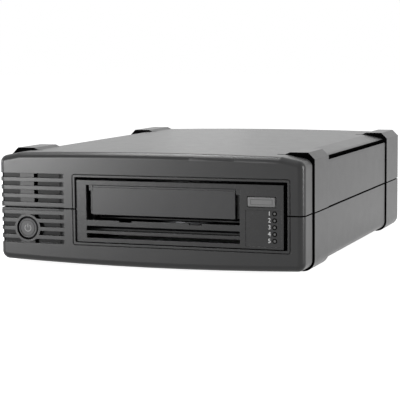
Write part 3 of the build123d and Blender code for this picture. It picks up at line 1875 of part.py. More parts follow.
head_middle_z = reel_low + reel_flange + reel_gap / 2
stepper_top = head_middle_z - head_height / 2 - head_travel - stepper_gap
with BuildPart() as head_carriage:
    half_height = head_carriage_height / 2
    block(
        (
            head_x - head_carriage_thickness / 2,
            head_y - head_carriage_width / 2,
            head_middle_z - half_height,
        ),
        (
            head_x + head_carriage_thickness / 2,
            head_y + head_carriage_width / 2,
            head_middle_z + half_height,
        ),
    )
    for y, radius in (
        (head_y - head_post_spacing / 2, roller_post_radius),
        (head_y, head_screw_radius),
        (head_y + head_post_spacing / 2, roller_post_radius),
    ):
        disc(head_x, y, floor_top, post_top, radius + running_gap, Mode.SUBTRACT)
head_carriage.part.label = "head_carriage"

with BuildPart() as tape_head:
    head_back = head_x + head_carriage_thickness / 2
    head_low = head_middle_z - head_height / 2
    with BuildSketch(seen_from_above(head_low)):
        with BuildLine():
            Polyline(
                (head_back, head_y - head_width / 2),
                (head_back + head_thickness / 2, head_y - head_width / 2),
                (head_back + head_thickness, head_y - head_width / 4),
                (head_back + head_thickness, head_y + head_width / 4),
                (head_back + head_thickness / 2, head_y + head_width / 2),
                (head_back, head_y + head_width / 2),
                close=True,
            )
        make_face()
    extrude(amount=head_height)
tape_head.part.label = "tape_head"

with BuildPart() as head_stepper:
    disc(head_x, head_y, floor_top, stepper_top, stepper_radius)
    disc(
        head_x,
        head_y,
        stepper_top - stepper_bore_depth,
        stepper_top,
        head_screw_radius + running_gap,
        mode=Mode.SUBTRACT,
    )
head_stepper.part.label = "head_stepper"

with BuildPart() as head_screw:
    disc(head_x, head_y, stepper_top - screw_in_stepper, post_top, head_screw_radius)
head_screw.part.label = "head_screw"


# Internal leads, each a round tube along straight runs joined by tangent arcs
def steps(offsets, x, y, z):
    """Lists the points that lie the given steps away from one place."""
    return [(x + right, y + back, z + up) for right, back, up in offsets]


def corner_radii(points):
    """The largest arc at each corner that its two runs leave room for."""
    radii = []
    for before, at, after in zip(points, points[1:], points[2:]):
        run_in = Vector(*at) - Vector(*before)
        run_out = Vector(*after) - Vector(*at)
        half_turn = radians(run_in.get_angle(run_out)) / 2
        radii.append(0.45 * min(run_in.length, run_out.length) / tan(half_turn))
    return radii


def lead(points, diameter, label):
    """Makes a lead along the points and prints its radii and how full its sweep is."""
    radii = corner_radii(points)
    with BuildPart() as tube:
        with BuildLine() as route:
            FilletPolyline(*points, radius=radii)
        with BuildSketch(Plane(origin=points[0], z_dir=route.line @ 0.01 - route.line @ 0)):
            RegularPolygon(diameter / 2, lead_sides)
        sweep()
    length = sum(edge.length for edge in route.line.edges())
    section = lead_sides / 2 * (diameter / 2) ** 2 * sin(2 * pi / lead_sides)
    full = tube.part.volume / (section * length)
    print(label, "radii", [round(radius, 1) for radius in radii], "fill", round(full, 4))
    tube.part.label = label
    return tube


power_plug_x = sum(connector_windows[0]) / 2
data_plug_x = sum(connector_windows[1]) / 2
plug_z = (board_top + connector_top) / 2
mains_lead = lead(
    steps(mains_lead_from_inlet, inlet_x, inlet_back, inlet_height)
    + steps(mains_lead_to_supply, mains_header_x, psu_rear, header_z),
    mains_lead_size,
    "mains_lead",
)
drive_power_lead = lead(
    steps(drive_lead_from_drive, power_plug_x, drive_rear, plug_z)
    + steps(drive_lead_to_supply, output_header_x, psu_rear, header_z),
    drive_lead_size,
    "drive_power_lead",
)
fan_lead = lead(
    steps(fan_lead_from_fan, fan_x + fan_size / 2, fan_y, tray_top)
    + steps(fan_lead_to_supply, fan_header_x, psu_rear, header_z),
    fan_lead_size,
    "fan_lead",
)
switch_lead = lead(
    steps(switch_lead_from_switch, power_x, switch_board_y + board_thickness, header_z)
    + steps(switch_lead_between, power_x, psu_front, header_z)
    + steps(switch_lead_to_supply, psu_x, psu_front, header_z),
    switch_lead_size,
    "switch_lead",
)
data_cable = lead(
    steps(data_cable_from_drive, data_plug_x, drive_rear, plug_z)
    + steps(data_cable_to_socket, data_x, cage_front, data_z),
    data_cable_size,
    "data_cable",
)

os.makedirs("parts", exist_ok=True)
pieces = [
    upper_cover,
    lower_cover,
    rubber_feet,
    case_screws,
    power_button,
    power_switch,
    rear_panel,
    rear_panel_screws,
    chassis_tray,
    left_drive_rail,
    right_drive_rail,
    drive_screws,
    fan_frame,
    fan_rotor,
    fan_screws,
    ac_inlet,
    inlet_contacts,
    data_socket_cage,
    data_socket_board,
    psu_board,
    psu_spacers,
    psu_transformer,
    psu_capacitors,
    psu_connectors,
    psu_heatsinks,
    drive_base,
    drive_bottom_cover,
    drive_top_cover,
    drive_bezel,
    slot_door,
    eject_button,
    status_light_pipes,
    front_panel_board,
    main_board,
    main_board_chips,
    drive_rear_connectors,
    cartridge_tray,
    loader_slide,
    loader_gear,
    motor_pinion,
    loader_motor,
    loader_bracket,
    supply_motor,
    supply_spindle,
    take_up_motor,
    take_up_reel,
    tape_path_posts,
    *guide_rollers,
    head_carriage,
    tape_head,
    head_stepper,
    head_screw,
    mains_lead,
    drive_power_lead,
    fan_lead,
    switch_lead,
    data_cable,
]
for piece in pieces:
    export_step(piece.part, f"parts/{piece.part.label}.step")
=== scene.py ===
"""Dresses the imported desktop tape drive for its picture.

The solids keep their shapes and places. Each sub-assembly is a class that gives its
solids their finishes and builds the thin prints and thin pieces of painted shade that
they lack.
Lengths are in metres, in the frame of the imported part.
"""

import logging
import math
from dataclasses import dataclass, field
from enum import Enum
from typing import Any, Callable, Iterable, Sequence

import bmesh
import bpy
from mathutils import Matrix, Vector


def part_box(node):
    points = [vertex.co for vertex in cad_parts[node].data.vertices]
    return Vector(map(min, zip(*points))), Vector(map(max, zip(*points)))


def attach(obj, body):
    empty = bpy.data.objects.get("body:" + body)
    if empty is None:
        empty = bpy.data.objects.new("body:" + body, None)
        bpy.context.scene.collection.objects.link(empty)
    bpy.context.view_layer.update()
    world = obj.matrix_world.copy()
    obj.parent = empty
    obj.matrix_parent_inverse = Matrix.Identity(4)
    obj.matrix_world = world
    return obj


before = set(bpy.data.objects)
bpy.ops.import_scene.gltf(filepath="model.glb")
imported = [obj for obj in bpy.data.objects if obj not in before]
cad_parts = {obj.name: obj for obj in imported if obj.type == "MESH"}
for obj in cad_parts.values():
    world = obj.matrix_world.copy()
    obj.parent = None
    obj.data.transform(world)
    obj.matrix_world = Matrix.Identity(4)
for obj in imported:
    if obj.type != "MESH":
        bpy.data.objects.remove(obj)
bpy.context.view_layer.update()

Colour = tuple[float, float, float]
Point = tuple[float, float, float]
MM = 0.001

logging.basicConfig(level=logging.INFO, format="%(levelname)s %(name)s: %(message)s")
log = logging.getLogger("tape_drive")


# Shader maths


class Wire:
    """A shader socket that takes part in Python arithmetic."""

    def __init__(self, graph: "Nodes", socket: bpy.types.NodeSocket) -> None:
        """Wraps a socket.

        Args:
            graph: the nodes that new Math nodes are added to.
            socket: the output socket that carries the value.
        """
        self.graph = graph
        self.socket = socket

    def __add__(self, other: "Wire | float") -> "Wire":
        """The sum of two values."""
        return self.graph.math("ADD", self, other)

    def __radd__(self, other: float) -> "Wire":
        """The sum, with the plain number first."""
        return self.graph.math("ADD", other, self)

    def __sub__(self, other: "Wire | float") -> "Wire":
        """The difference of two values."""
        return self.graph.math("SUBTRACT", self, other)

    def __rsub__(self, other: float) -> "Wire":
        """The difference, with the plain number first."""
        return self.graph.math("SUBTRACT", other, self)

    def __mul__(self, other: "Wire | float") -> "Wire":
        """The product of two values."""
        return self.graph.math("MULTIPLY", self, other)

    def __rmul__(self, other: float) -> "Wire":
        """The product, with the plain number first."""
        return self.graph.math("MULTIPLY", other, self)

    def __truediv__(self, other: "Wire | float") -> "Wire":
        """The quotient of two values."""
        return self.graph.math("DIVIDE", self, other)

    def __rtruediv__(self, other: float) -> "Wire":
        """The quotient, with the plain number first."""
        return self.graph.math("DIVIDE", other, self)

    def clamp(self) -> "Wire":
        """The value held between 0 and 1."""
        return self.graph.node(
            "ShaderNodeClamp", {}, {"Value": self, "Min": 0.0, "Max": 1.0}
        )


Value = Wire | float | int | Sequence[float]
WHITE_RAYS = ("Is Camera Ray", "Is Glossy Ray", "Is Transmission Ray")


class Nodes:
    """The nodes of a material or a world."""

    def __init__(self, owner: bpy.types.Material | bpy.types.World) -> None:
        """Clears the owner's nodes.

        Args:
            owner: the material or world.
        """
        owner.use_nodes = True
        self.tree = owner.node_tree
        self.tree.nodes.clear()

    def add(
        self,
        kind: str,
        settings: dict[str, Any],
        inputs: dict[str | int, Value],
    ) -> bpy.types.Node:
        """Adds a node.

        Args:
            kind: the node's type.
            settings: its properties, set before its sockets. The key "stops" holds
                a ramp's (position, colour) pairs.
            inputs: plain values or wires for its input sockets.

        Returns:
            The node.
        """
        made = self.tree.nodes.new(kind)
        for key, setting in settings.items():
            if key == "stops":
                self._set_stops(made, setting)
            else:
                setattr(made, key, setting)
        for key, value in inputs.items():
            self.feed(made.inputs[key], value)
        return made

    def node(
        self,
        kind: str,
        settings: dict[str, Any],
        inputs: dict[str | int, Value],
        output: str | int = 0,
    ) -> Wire:
        """Adds a node and takes one of its outputs.

        Args:
            kind: the node's type.
            settings: its properties, as for add.
            inputs: plain values or wires for its input sockets.
            output: the output socket to return.

        Returns:
            The chosen output as a wire.
        """
        return Wire(self, self.add(kind, settings, inputs).outputs[output])

    @staticmethod
    def _set_stops(
        ramp: bpy.types.Node, stops: Sequence[tuple[float, Colour]]
    ) -> None:
        """Sets a colour ramp's stops.

        Args:
            ramp: the Color Ramp node.
            stops: (position, colour) pairs in rising order.
        """
        elements = ramp.color_ramp.elements
        while len(elements) < len(stops):
            elements.new(1.0)
        for element, (position, colour) in zip(elements, stops):
            element.position = position
            element.color = (*colour, 1.0)

    def feed(self, socket: bpy.types.NodeSocket, value: Value) -> None:
        """Links a wire to a socket, or sets a plain value on it.

        Args:
            socket: the input socket.
            value: the wire, number, colour or vector.
        """
        if isinstance(value, Wire):
            self.tree.links.new(value.socket, socket)
        elif isinstance(value, (int, float)):
            socket.default_value = value
        else:
            width = len(socket.default_value)
            socket.default_value = (*value, 1.0)[:width]

    def math(self, operation: str, *values: Value) -> Wire:
        """Adds a Math node.

        Args:
            operation: the operation's name in Blender.
            values: its one, two or three operands.

        Returns:
            The result.
        """
        return self.node(
            "ShaderNodeMath", {"operation": operation}, dict(enumerate(values))
        )

    def vector(self, operation: str, *values: Value) -> Wire:
        """Adds a Vector Math node.

        Args:
            operation: the operation's name in Blender.
            values: its vector operands.

        Returns:
            The resulting vector.
        """
        return self.node(
            "ShaderNodeVectorMath", {"operation": operation}, dict(enumerate(values))
        )

    def blend(self, share: Value, low: Value, high: Value) -> Wire:
        """Mixes two colours.

        Args:
            share: 0 for the first colour, 1 for the second.
            low: the first colour.
            high: the second colour.

        Returns:
            The mixed colour.
        """
        return self.node(
            "ShaderNodeMix",
            {"data_type": "RGBA"},
            {0: share, 6: low, 7: high},
            output=2,
        )

    def place(self) -> Wire:
        """The surface point in the part's own frame, in metres."""
        return self.node("ShaderNodeTexCoord", {}, {}, output="Object")

    def coordinates(self) -> tuple[Wire, Wire, Wire]:
        """The surface point's X, Y and Z, in metres."""
        parts = self.add("ShaderNodeSeparateXYZ", {}, {"Vector": self.place()})
        return tuple(Wire(self, parts.outputs[axis]) for axis in "XYZ")

    def noise(self, size: float, detail: float = 2.0, rough: float = 0.5) -> Wire:
        """A cloudy value between 0 and 1.

        Args:
            size: the width of its features, in metres.
            detail: how many finer layers it has.
            rough: how strong those layers are.

        Returns:
            The value.
        """
        return self.node(
            "ShaderNodeTexNoise",
            {},
            {
                "Vector": self.place(),
                "Scale": 1.0 / size,
                "Detail": detail,
                "Roughness": rough,
            },
        )

    def streaks(self, stretch: Point, size: float) -> Wire:
        """A value that varies fast across one direction and slowly along it.

        Args:
            stretch: how much each axis is packed; small along the streaks.
            size: the streaks' width, in metres.

        Returns:
            The value between 0 and 1.
        """
        packed = self.vector("MULTIPLY", self.place(), stretch)
        return self.node(
            "ShaderNodeTexNoise",
            {},
            {"Vector": packed, "Scale": 1.0 / size, "Detail": 3.0},
        )

    def around(self, middle: Wire | float, noise: Wire, swing: float) -> Wire:
        """A value that a noise moves up and down.

        Args:
            middle: the value where the noise is at its middle.
            noise: the noise, between 0 and 1.
            swing: the most that it can add, from its lowest to its highest.

        Returns:
            The moving value.
        """
        return middle + (noise - 0.5) * swing

    def white_rays(self) -> Wire:
        """1 for the rays that should meet the white background, 0 for the others."""
        camera, glossy, through = (
            self.node("ShaderNodeLightPath", {}, {}, output=kind) for kind in WHITE_RAYS
        )
        return (camera + glossy + through).clamp()


class Graph(Nodes):
    """The node graph of one material, with a Principled shader at its end."""

    def __init__(self, name: str) -> None:
        """Makes the material and its shader.

        Args:
            name: the material's name.
        """
        self.material = bpy.data.materials.new(name)
        super().__init__(self.material)
        self.shader = self.add("ShaderNodeBsdfPrincipled", {}, {})
        self.lit = Wire(self, self.shader.outputs[0])
        self.output = self.add("ShaderNodeOutputMaterial", {}, {"Surface": self.lit})

    def bump(self, height: Wire, depth: float, edge: float = 0.0) -> None:
        """Feeds a height, and edges that look rounded, to the shader's normal.

        Args:
            height: the height between 0 and 1.
            depth: what a height of 1 stands for, in metres.
            edge: the radius that sharp edges seem to have, in metres.
        """
        inputs: dict[str | int, Value] = {"Distance": depth, "Height": height}
        if edge:
            inputs["Normal"] = self.node(
                "ShaderNodeBevel", {"samples": 4}, {"Radius": edge}
            )
        self.feed(self.shader.inputs["Normal"], self.node("ShaderNodeBump", {}, inputs))

    def cover(self, share: Wire, colour: Colour) -> None:
        """Lays painted shade, a dull surface without any gloss, over the shader.

        Args:
            share: 0 where the shader shows, 1 where the painted shade does.
            colour: the painted shade's colour.
        """
        painted_shade_bsdf = self.node(
            "ShaderNodeBsdfPrincipled",
            {},
            {"Base Color": colour, "Roughness": 0.9, "Specular IOR Level": 0.0},
        )
        mixed = self.node("ShaderNodeMixShader", {}, {0: share, 1: self.lit, 2: painted_shade_bsdf})
        self.feed(self.output.inputs["Surface"], mixed)

    def set(self, **inputs: Value) -> None:
        """Feeds the shader's sockets, named with underscores for spaces."""
        for key, value in inputs.items():
            self.feed(self.shader.inputs[key.replace("_", " ")], value)


# Finishes


@dataclass(frozen=True)
class Finish:
    """A finish with a name and a base colour."""

    name: str
    colour: Colour
    roughness: float = 0.5

    def material(self) -> bpy.types.Material:
        """Makes the finish's material, or finds it when it was made before.

        Returns:
            The material.
        """
        found = bpy.data.materials.get(self.name + "_finish")
        if found is not None:
            return found
        graph = Graph(self.name + "_finish")
        graph.set(Base_Color=self.colour, Roughness=self.roughness)
        self.build(graph)
        return graph.material

    def build(self, graph: Graph) -> None:
        """Adds the finish's own nodes.

        Args:
            graph: the material's graph.
        """
        raise NotImplementedError

    def lighter(self, factor: float) -> Colour:
        """The base colour times a factor."""
        return tuple(min(1.0, channel * factor) for channel in self.colour)

    def shades(self, graph: Graph, share: Wire, low: float, high: float) -> Wire:
        """The base colour in a darker and a lighter shade that a noise mixes.

        Args:
            graph: the material's graph.
            share: 0 for the first shade, 1 for the second.
            low: the first shade's factor.
            high: the second shade's factor.

        Returns:
            The mixed colour.
        """
        return graph.blend(share, self.lighter(low), self.lighter(high))


@dataclass(frozen=True)
class MouldedPlastic(Finish):
    """Injection-moulded plastic with a spark-eroded grain and faint handling marks."""

    grain: float = 0.45 * MM
    grain_depth: float = 0.02 * MM
    mottle: float = 1.6 * MM
    drift: float = 60 * MM
    rub: float = 9 * MM
    cloud: float = 0.09
    edge: float = 0.35 * MM
    gloss: float = 0.33

    def build(self, graph: Graph) -> None:
        """Adds grain, a coarser mottle, slow colour drift and uneven gloss.

        Args:
            graph: the material's graph.
        """
        grain = graph.noise(self.grain, detail=3.0, rough=0.6)
        mottle = graph.noise(self.mottle, detail=2.0, rough=0.6)
        drift = graph.noise(self.drift, detail=2.0)
        rubbed = graph.noise(self.rub, detail=4.0, rough=0.65)
        fleck = (grain * 0.3 + mottle * 0.4 + drift * 0.3).clamp()
        worn = graph.around(self.roughness, rubbed, 0.07)
        graph.set(
            Base_Color=self.shades(graph, fleck, 1 - self.cloud, 1 + self.cloud),
            Roughness=graph.around(worn, grain, 0.06),
            Specular_IOR_Level=self.gloss,
        )
        graph.bump(grain, self.grain_depth, self.edge)


@dataclass(frozen=True)
class Zone:
    """A box of the part's frame, in millimetres, whose surfaces get painted shade.

    An axis without limits is left as None. The painted shade grows along Y from the
    box's low side over the distance fade, and is sudden when fade is 0.
    """

    x: tuple[float, float] | None = None
    y: tuple[float, float] | None = None
    z: tuple[float, float] | None = None
    both_sides: bool = False
    fade: float = 0.0
    strength: float = 1.0

    def cover(self, graph: Graph) -> Wire:
        """How much painted shade a surface point gets.

        Args:
            graph: the material's graph.

        Returns:
            A value between 0 and 1.
        """
        x, y, z = graph.coordinates()
        if self.both_sides:
            x = graph.math("ABSOLUTE", x)
        painted_shade_share: Wire | float = self.strength
        for axis, limits in ((x, self.x), (y, self.y), (z, self.z)):
            if limits is not None:
                low, high = (limit * MM for limit in limits)
                inside = (axis - low) * (high - axis)
                painted_shade_share = graph.math("GREATER_THAN", inside, 0.0) * painted_shade_share
        if self.fade:
            painted_shade_share = painted_shade_share * ((y - self.y[0] * MM) / (self.fade * MM)).clamp()
        return painted_shade_share


@dataclass(frozen=True)
class RecessedPlastic(MouldedPlastic):
    """Moulded plastic with painted shade laid over its grooves and gaps."""

    zones: tuple[Zone, ...] = ()
    # The near-black colour of the painted shade.
    shade: Colour = (0.0035, 0.0035, 0.0036)

    def build(self, graph: Graph) -> None:
        """Adds the moulded skin, then lays painted shade over the zones.

        Args:
            graph: the material's graph.
        """
        super().build(graph)
        painted_shade_share: Wire | float = 0.0
        for zone in self.zones:
            painted_shade_share = graph.math("MAXIMUM", zone.cover(graph), painted_shade_share)
        graph.cover(painted_shade_share, self.shade)


@dataclass(frozen=True)
class SheetMetal(Finish):
    """Plated or brushed sheet with a fine directional grain."""

    run: Point = (0.02, 1.0, 1.0)
    streak: float = 0.5 * MM
    streak_depth: float = 0.004 * MM
    spangle: float = 14 * MM
    edge: float = 0.15 * MM

    def build(self, graph: Graph) -> None:
        """Adds the brushed streaks and the plating's faint clouds.

        Args:
            graph: the material's graph.
        """
        streak = graph.streaks(self.run, self.streak)
        spangle = graph.noise(self.spangle, detail=3.0)
        graph.set(
            Metallic=1.0,
            Base_Color=self.shades(graph, spangle, 0.9, 1.08),
            Roughness=graph.around(self.roughness, streak, 0.18),
        )
        graph.bump(streak, self.streak_depth, self.edge)


@dataclass(frozen=True)
class CastMetal(Finish):
    """As-cast or sintered metal with a pebbled skin."""

    pebble: float = 0.8 * MM
    pebble_depth: float = 0.03 * MM
    stain: float = 20 * MM
    edge: float = 0.25 * MM

    def build(self, graph: Graph) -> None:
        """Adds the pebbled bump and duller hollows.

        Args:
            graph: the material's graph.
        """
        pebble = graph.noise(self.pebble, detail=4.0, rough=0.6)
        stain = graph.noise(self.stain, detail=3.0)
        graph.set(
            Metallic=1.0,
            Base_Color=self.shades(graph, stain, 0.85, 1.05),
            Roughness=graph.around(self.roughness, pebble, 0.2),
        )
        graph.bump(pebble, self.pebble_depth, self.edge)


@dataclass(frozen=True)
class PowderCoat(Finish):
    """Baked powder paint with a light orange peel."""

    peel: float = 1.3 * MM
    peel_depth: float = 0.03 * MM
    edge: float = 0.2 * MM

    def build(self, graph: Graph) -> None:
        """Adds the orange peel.

        Args:
            graph: the material's graph.
        """
        peel = graph.noise(self.peel, detail=2.0)
        graph.set(
            Base_Color=self.shades(graph, peel, 0.93, 1.07),
            Roughness=graph.around(self.roughness, peel, 0.1),
        )
        graph.bump(peel, self.peel_depth, self.edge)


@dataclass(frozen=True)
class SoftRubber(Finish):
    """Matt rubber or soft PVC with a dusty bloom."""

    bloom: float = 6 * MM
    skin: float = 0.5 * MM
    skin_depth: float = 0.015 * MM

    def build(self, graph: Graph) -> None:
        """Adds the bloom and a faint skin texture.

        Args:
            graph: the material's graph.
        """
        bloom = graph.noise(self.bloom, detail=4.0, rough=0.7)
        skin = graph.noise(self.skin, detail=2.0)
        graph.set(
            Base_Color=self.shades(graph, bloom, 1.0, 1.5),
            Roughness=graph.around(self.roughness, bloom, 0.15),
        )
        graph.bump(skin, self.skin_depth)


@dataclass(frozen=True)
class SolderMask(Finish):
    """A printed circuit board with copper tracks under its mask."""

    track: float = 2.6 * MM
    track_depth: float = 0.03 * MM
    coat: float = 0.4

    def build(self, graph: Graph) -> None:
        """Adds the tracks as paler, slightly raised bands.

        Args:
            graph: the material's graph.
        """
        cell = graph.node(
            "ShaderNodeTexVoronoi",
            {"distance": "CHEBYCHEV", "feature": "F1"},
            {"Vector": graph.place(), "Scale": 1.0 / self.track, "Randomness": 0.55},
            output="Distance",
        )
        band = graph.node(
            "ShaderNodeValToRGB",
            {"stops": ((0.40, (0, 0, 0)), (0.46, (1, 1, 1)), (0.60, (1, 1, 1)))},
            {"Fac": cell},
        )
        graph.set(
            Base_Color=self.shades(graph, band, 1.0, 1.8), Coat_Weight=self.coat
        )
        graph.bump(band, self.track_depth)


@dataclass(frozen=True)
class Glossy(Finish):
    """A smooth moulded or lacquered surface."""

    coat: float = 0.3
    smudge: float = 5 * MM

    def build(self, graph: Graph) -> None:
        """Adds faint flow marks and smudges.

        Args:
            graph: the material's graph.
        """
        smudge = graph.noise(self.smudge, detail=4.0, rough=0.6)
        graph.set(
            Base_Color=self.shades(graph, smudge, 0.95, 1.06),
            Roughness=graph.around(self.roughness, smudge, 0.12),
            Coat_Weight=self.coat,
        )


@dataclass(frozen=True)
class Ink(Finish):
    """Pad-printed ink with slightly worn edges, also used for thin pieces of painted
    shade.
    """

    gloss: float = 0.5
    patch: float = 0.4 * MM

    def build(self, graph: Graph) -> None:
        """Adds the ink's thin patches.

        Args:
            graph: the material's graph.
        """
        thin = graph.noise(self.patch, detail=2.0)
        graph.set(
            Base_Color=self.shades(graph, thin, 0.85, 1.05),
            Specular_IOR_Level=self.gloss,
        )


# Painted shade on the case plastic: the grooves before the front and rear bumpers (with
# the pads' front faces and a patch in front of them), the rebate along each top edge, the
# parting line, a wider band of it on the sides behind the front bumpers, the louvre
# floors (darker with depth), the louvre ends round the left corner and the line round the
# tape aperture.
FRONT_BUMPER_GROOVE_SHADE = Zone(x=(86.0, 120.0), y=(-121.06, -117.54), both_sides=True)
REAR_BUMPER_GROOVE_SHADE = Zone(x=(86.0, 120.0), y=(92.64, 96.16), both_sides=True)
TOP_REBATE_SHADE = Zone(x=(105.1, 120.0), y=(-82.45, 92.7), z=(72.14, 74.66), both_sides=True)
PARTING_LINE_SHADE = Zone(z=(39.34, 40.26))
SIDE_PARTING_SHADE = Zone(x=(107.0, 120.0), y=(-82.45, 92.7), z=(39.0, 40.3), both_sides=True)
LOUVRE_FLOOR_SHADE = Zone(
    x=(-109.6, -61.2), y=(-139.7, -132.0), z=(15.4, 64.2), fade=2.6, strength=0.7
)
CORNER_LOUVRE_SHADE = Zone(x=(-109.9, -108.0), y=(-137.2, -124.0), z=(15.4, 64.2))
APERTURE_LINE_SHADE = Zone(x=(-55.0, 101.4), y=(-139.9, -139.2), z=(14.6, 64.1), strength=0.8)
PAINTED_SHADE_ZONES = (
    FRONT_BUMPER_GROOVE_SHADE,
    REAR_BUMPER_GROOVE_SHADE,
    TOP_REBATE_SHADE,
    PARTING_LINE_SHADE,
    SIDE_PARTING_SHADE,
    LOUVRE_FLOOR_SHADE,
    CORNER_LOUVRE_SHADE,
    APERTURE_LINE_SHADE,
)
# The case plastic, carrying the painted shade of the zones above.
CASE = RecessedPlastic("case_plastic", (0.022, 0.022, 0.0225), 0.30, zones=PAINTED_SHADE_ZONES)
BEZEL = MouldedPlastic("bezel_plastic", (0.023, 0.023, 0.0235), 0.27, grain=0.35 * MM)
DOOR = MouldedPlastic("door_plastic", (0.032, 0.032, 0.033), 0.30, grain=0.35 * MM)
POWER = MouldedPlastic("power_plastic", (0.040, 0.040, 0.041), 0.36, grain=0.3 * MM)
EJECT = MouldedPlastic("eject_plastic", (0.20, 0.20, 0.20), 0.42, grain=0.3 * MM)
ACETAL = MouldedPlastic("acetal", (0.035, 0.035, 0.035), 0.33, grain=0.6 * MM)
NYLON = MouldedPlastic("nylon", (0.74, 0.73, 0.68), 0.45, grain=0.8 * MM)
FAN = MouldedPlastic("fan_plastic", (0.022, 0.022, 0.024), 0.38, grain=0.8 * MM)
CONNECTOR = MouldedPlastic("connector", (0.028, 0.028, 0.030), 0.42, grain=0.4 * MM)
CHIP = MouldedPlastic("chip", (0.020, 0.020, 0.022), 0.50, grain=0.3 * MM)
FOOT = SoftRubber("foot_rubber", (0.022, 0.022, 0.022), 0.75)
JACKET = SoftRubber("lead_jacket", (0.018, 0.018, 0.019), 0.50)
PANEL = PowderCoat("panel_steel", (0.035, 0.035, 0.038), 0.45)
# Painted shade: the cartridge tray, the loader slide and the drive's casting inside the
# case are made near black, so that what shows of them through the slot and the louvres
# stays dark.
SHADE_BLACK_SHEET = PowderCoat("black_steel", (0.012, 0.012, 0.0125), 0.60)
SHADE_BLACK_CASTING = PowderCoat("black_casting", (0.014, 0.014, 0.0145), 0.60)
SHEET = SheetMetal("sheet_steel", (0.58, 0.59, 0.60), 0.38)
# Painted shade: the motor cans are darkened so that they throw no glints out through the
# slot.
SHADE_DARK_CAN = SheetMetal("motor_can", (0.20, 0.20, 0.21), 0.40, run=(1.0, 1.0, 0.05))
SCREW = SheetMetal("screw_steel", (0.20, 0.20, 0.21), 0.35, run=(1.0, 1.0, 1.0))
CONTACT = SheetMetal("contact", (0.83, 0.62, 0.28), 0.28, run=(1.0, 0.05, 1.0))
HEATSINK = SheetMetal("heatsink", (0.45, 0.46, 0.48), 0.42, run=(1.0, 1.0, 0.03))
CASTING = CastMetal("cast_aluminium", (0.52, 0.53, 0.54), 0.45)
HEAD = CastMetal("head_ceramic", (0.30, 0.27, 0.25), 0.22, pebble=0.25 * MM)
BOARD = SolderMask("board", (0.012, 0.085, 0.035), 0.35)
# Painted shade: the boards inside, behind the front, are made near black so that they
# stay dark through the slot.
SHADE_DARK_BOARD = SolderMask("dark_board", (0.008, 0.009, 0.0085), 0.45)
WINDING = Glossy("transformer", (0.60, 0.45, 0.08), 0.40, coat=0.2)
SLEEVE = Glossy("capacitor", (0.02, 0.025, 0.09), 0.28, coat=0.5)
PIPE = Glossy("light_pipe", (0.055, 0.055, 0.053), 0.25, coat=0.4)
INK = Ink("printed_ink", (0.82, 0.82, 0.82), 0.55)
FAINT_INK = Ink("faint_ink", (0.30, 0.30, 0.30), 0.50)
# Painted shade: a dark line along the eject button's inner ridge, where its shade lies.
RIDGE_SHADE = Ink("dark_ink", (0.035, 0.035, 0.035), 0.50)
# Painted shade: near-black matt rings round the light pipes, where the gap round each
# pipe lies in shade.
RIM_SHADE = Ink("rim_ink", (0.002, 0.002, 0.002), 0.85, gloss=0.0)


# Meshes

# A print's height off its surface and its thickness, half the thickness of a figure,
# and the share of a font's size that a digit fills.
PRINT_GAP = 0.02 * MM
PRINT_DEPTH = 0.05 * MM
FIGURE_DEPTH = 0.02 * MM
DIGIT_SHARE = 0.7


class Sketch:
    """A thin print or piece of painted shade drawn in the plane of a front face, with a
    thickness.
    """

    def __init__(self, name: str) -> None:
        """Starts an empty sketch.

        Args:
            name: the name of the piece that it becomes.
        """
        self.name = name
        self.mesh = bmesh.new()

    def strip(self, inner: Iterable[Point], outer: Iterable[Point]) -> None:
        """Adds a closed band between two rows of points, thickened to the front.

        Args:
            inner: the first row.
            outer: the second row, with as many points.
        """
        forward = Vector((0.0, -PRINT_DEPTH, 0.0))
        sections = []
        for low, high in zip(map(Vector, inner), map(Vector, outer)):
            corners = (low, high, high + forward, low + forward)
            sections.append([self.mesh.verts.new(corner) for corner in corners])
        for cap in (sections[0], sections[-1]):
            self.mesh.faces.new(cap)
        for here, there in zip(sections, sections[1:]):
            for side in range(4):
                quad = (here[side - 1], here[side], there[side], there[side - 1])
                self.mesh.faces.new(quad)

    def arc(
        self,
        centre: Point,
        radius: float,
        width: float,
        start: float,
        end: float,
        steps: int = 40,
    ) -> None:
        """Adds a circular band that faces the front.

        Args:
            centre: its centre.
            radius: the radius of its middle line.
            width: how wide the band is.
            start: its first angle in degrees, from +X towards +Z.
            end: its last angle in degrees.
            steps: how many quads it has.
        """
        rows: list[list[Point]] = [[], []]
        for step in range(steps + 1):
            turn = math.radians(start + (end - start) * step / steps)
            for row, reach in zip(rows, (radius - width / 2, radius + width / 2)):
                row.append(
                    (
                        centre[0] + reach * math.cos(turn),
                        centre[1],
                        centre[2] + reach * math.sin(turn),
                    )
                )
        self.strip(*rows)

    def bar(self, low: tuple[float, float], high: tuple[float, float], y: float) -> None:
        """Adds a rectangle that faces the front.

        Args:
            low: its lowest X and Z.
            high: its highest X and Z.
            y: its depth.
        """
        self.strip(
            [(low[0], y, low[1]), (high[0], y, low[1])],
            [(low[0], y, high[1]), (high[0], y, high[1])],
        )

    def finish(self, finish: Finish, body: str) -> bpy.types.Object:
        """Turns the sketch into a dressed piece and fixes it to its body.

        Args:
            finish: its finish.
            body: the body that it rides on.

        Returns:
            The new object, linked to the scene.
        """
        bmesh.ops.recalc_face_normals(self.mesh, faces=self.mesh.faces)
        data = bpy.data.meshes.new(self.name)
        self.mesh.to_mesh(data)
        self.mesh.free()
        piece = bpy.data.objects.new(self.name, data)
        bpy.context.scene.collection.objects.link(piece)
        dress(piece, finish)
        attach(piece, body)
        return piece


def dress(piece: bpy.types.Object, finish: Finish) -> None:
    """Gives a mesh its finish.

    Args:
        piece: the object.
        finish: its finish.
    """
    piece.data.materials.clear()
    piece.data.materials.append(finish.material())


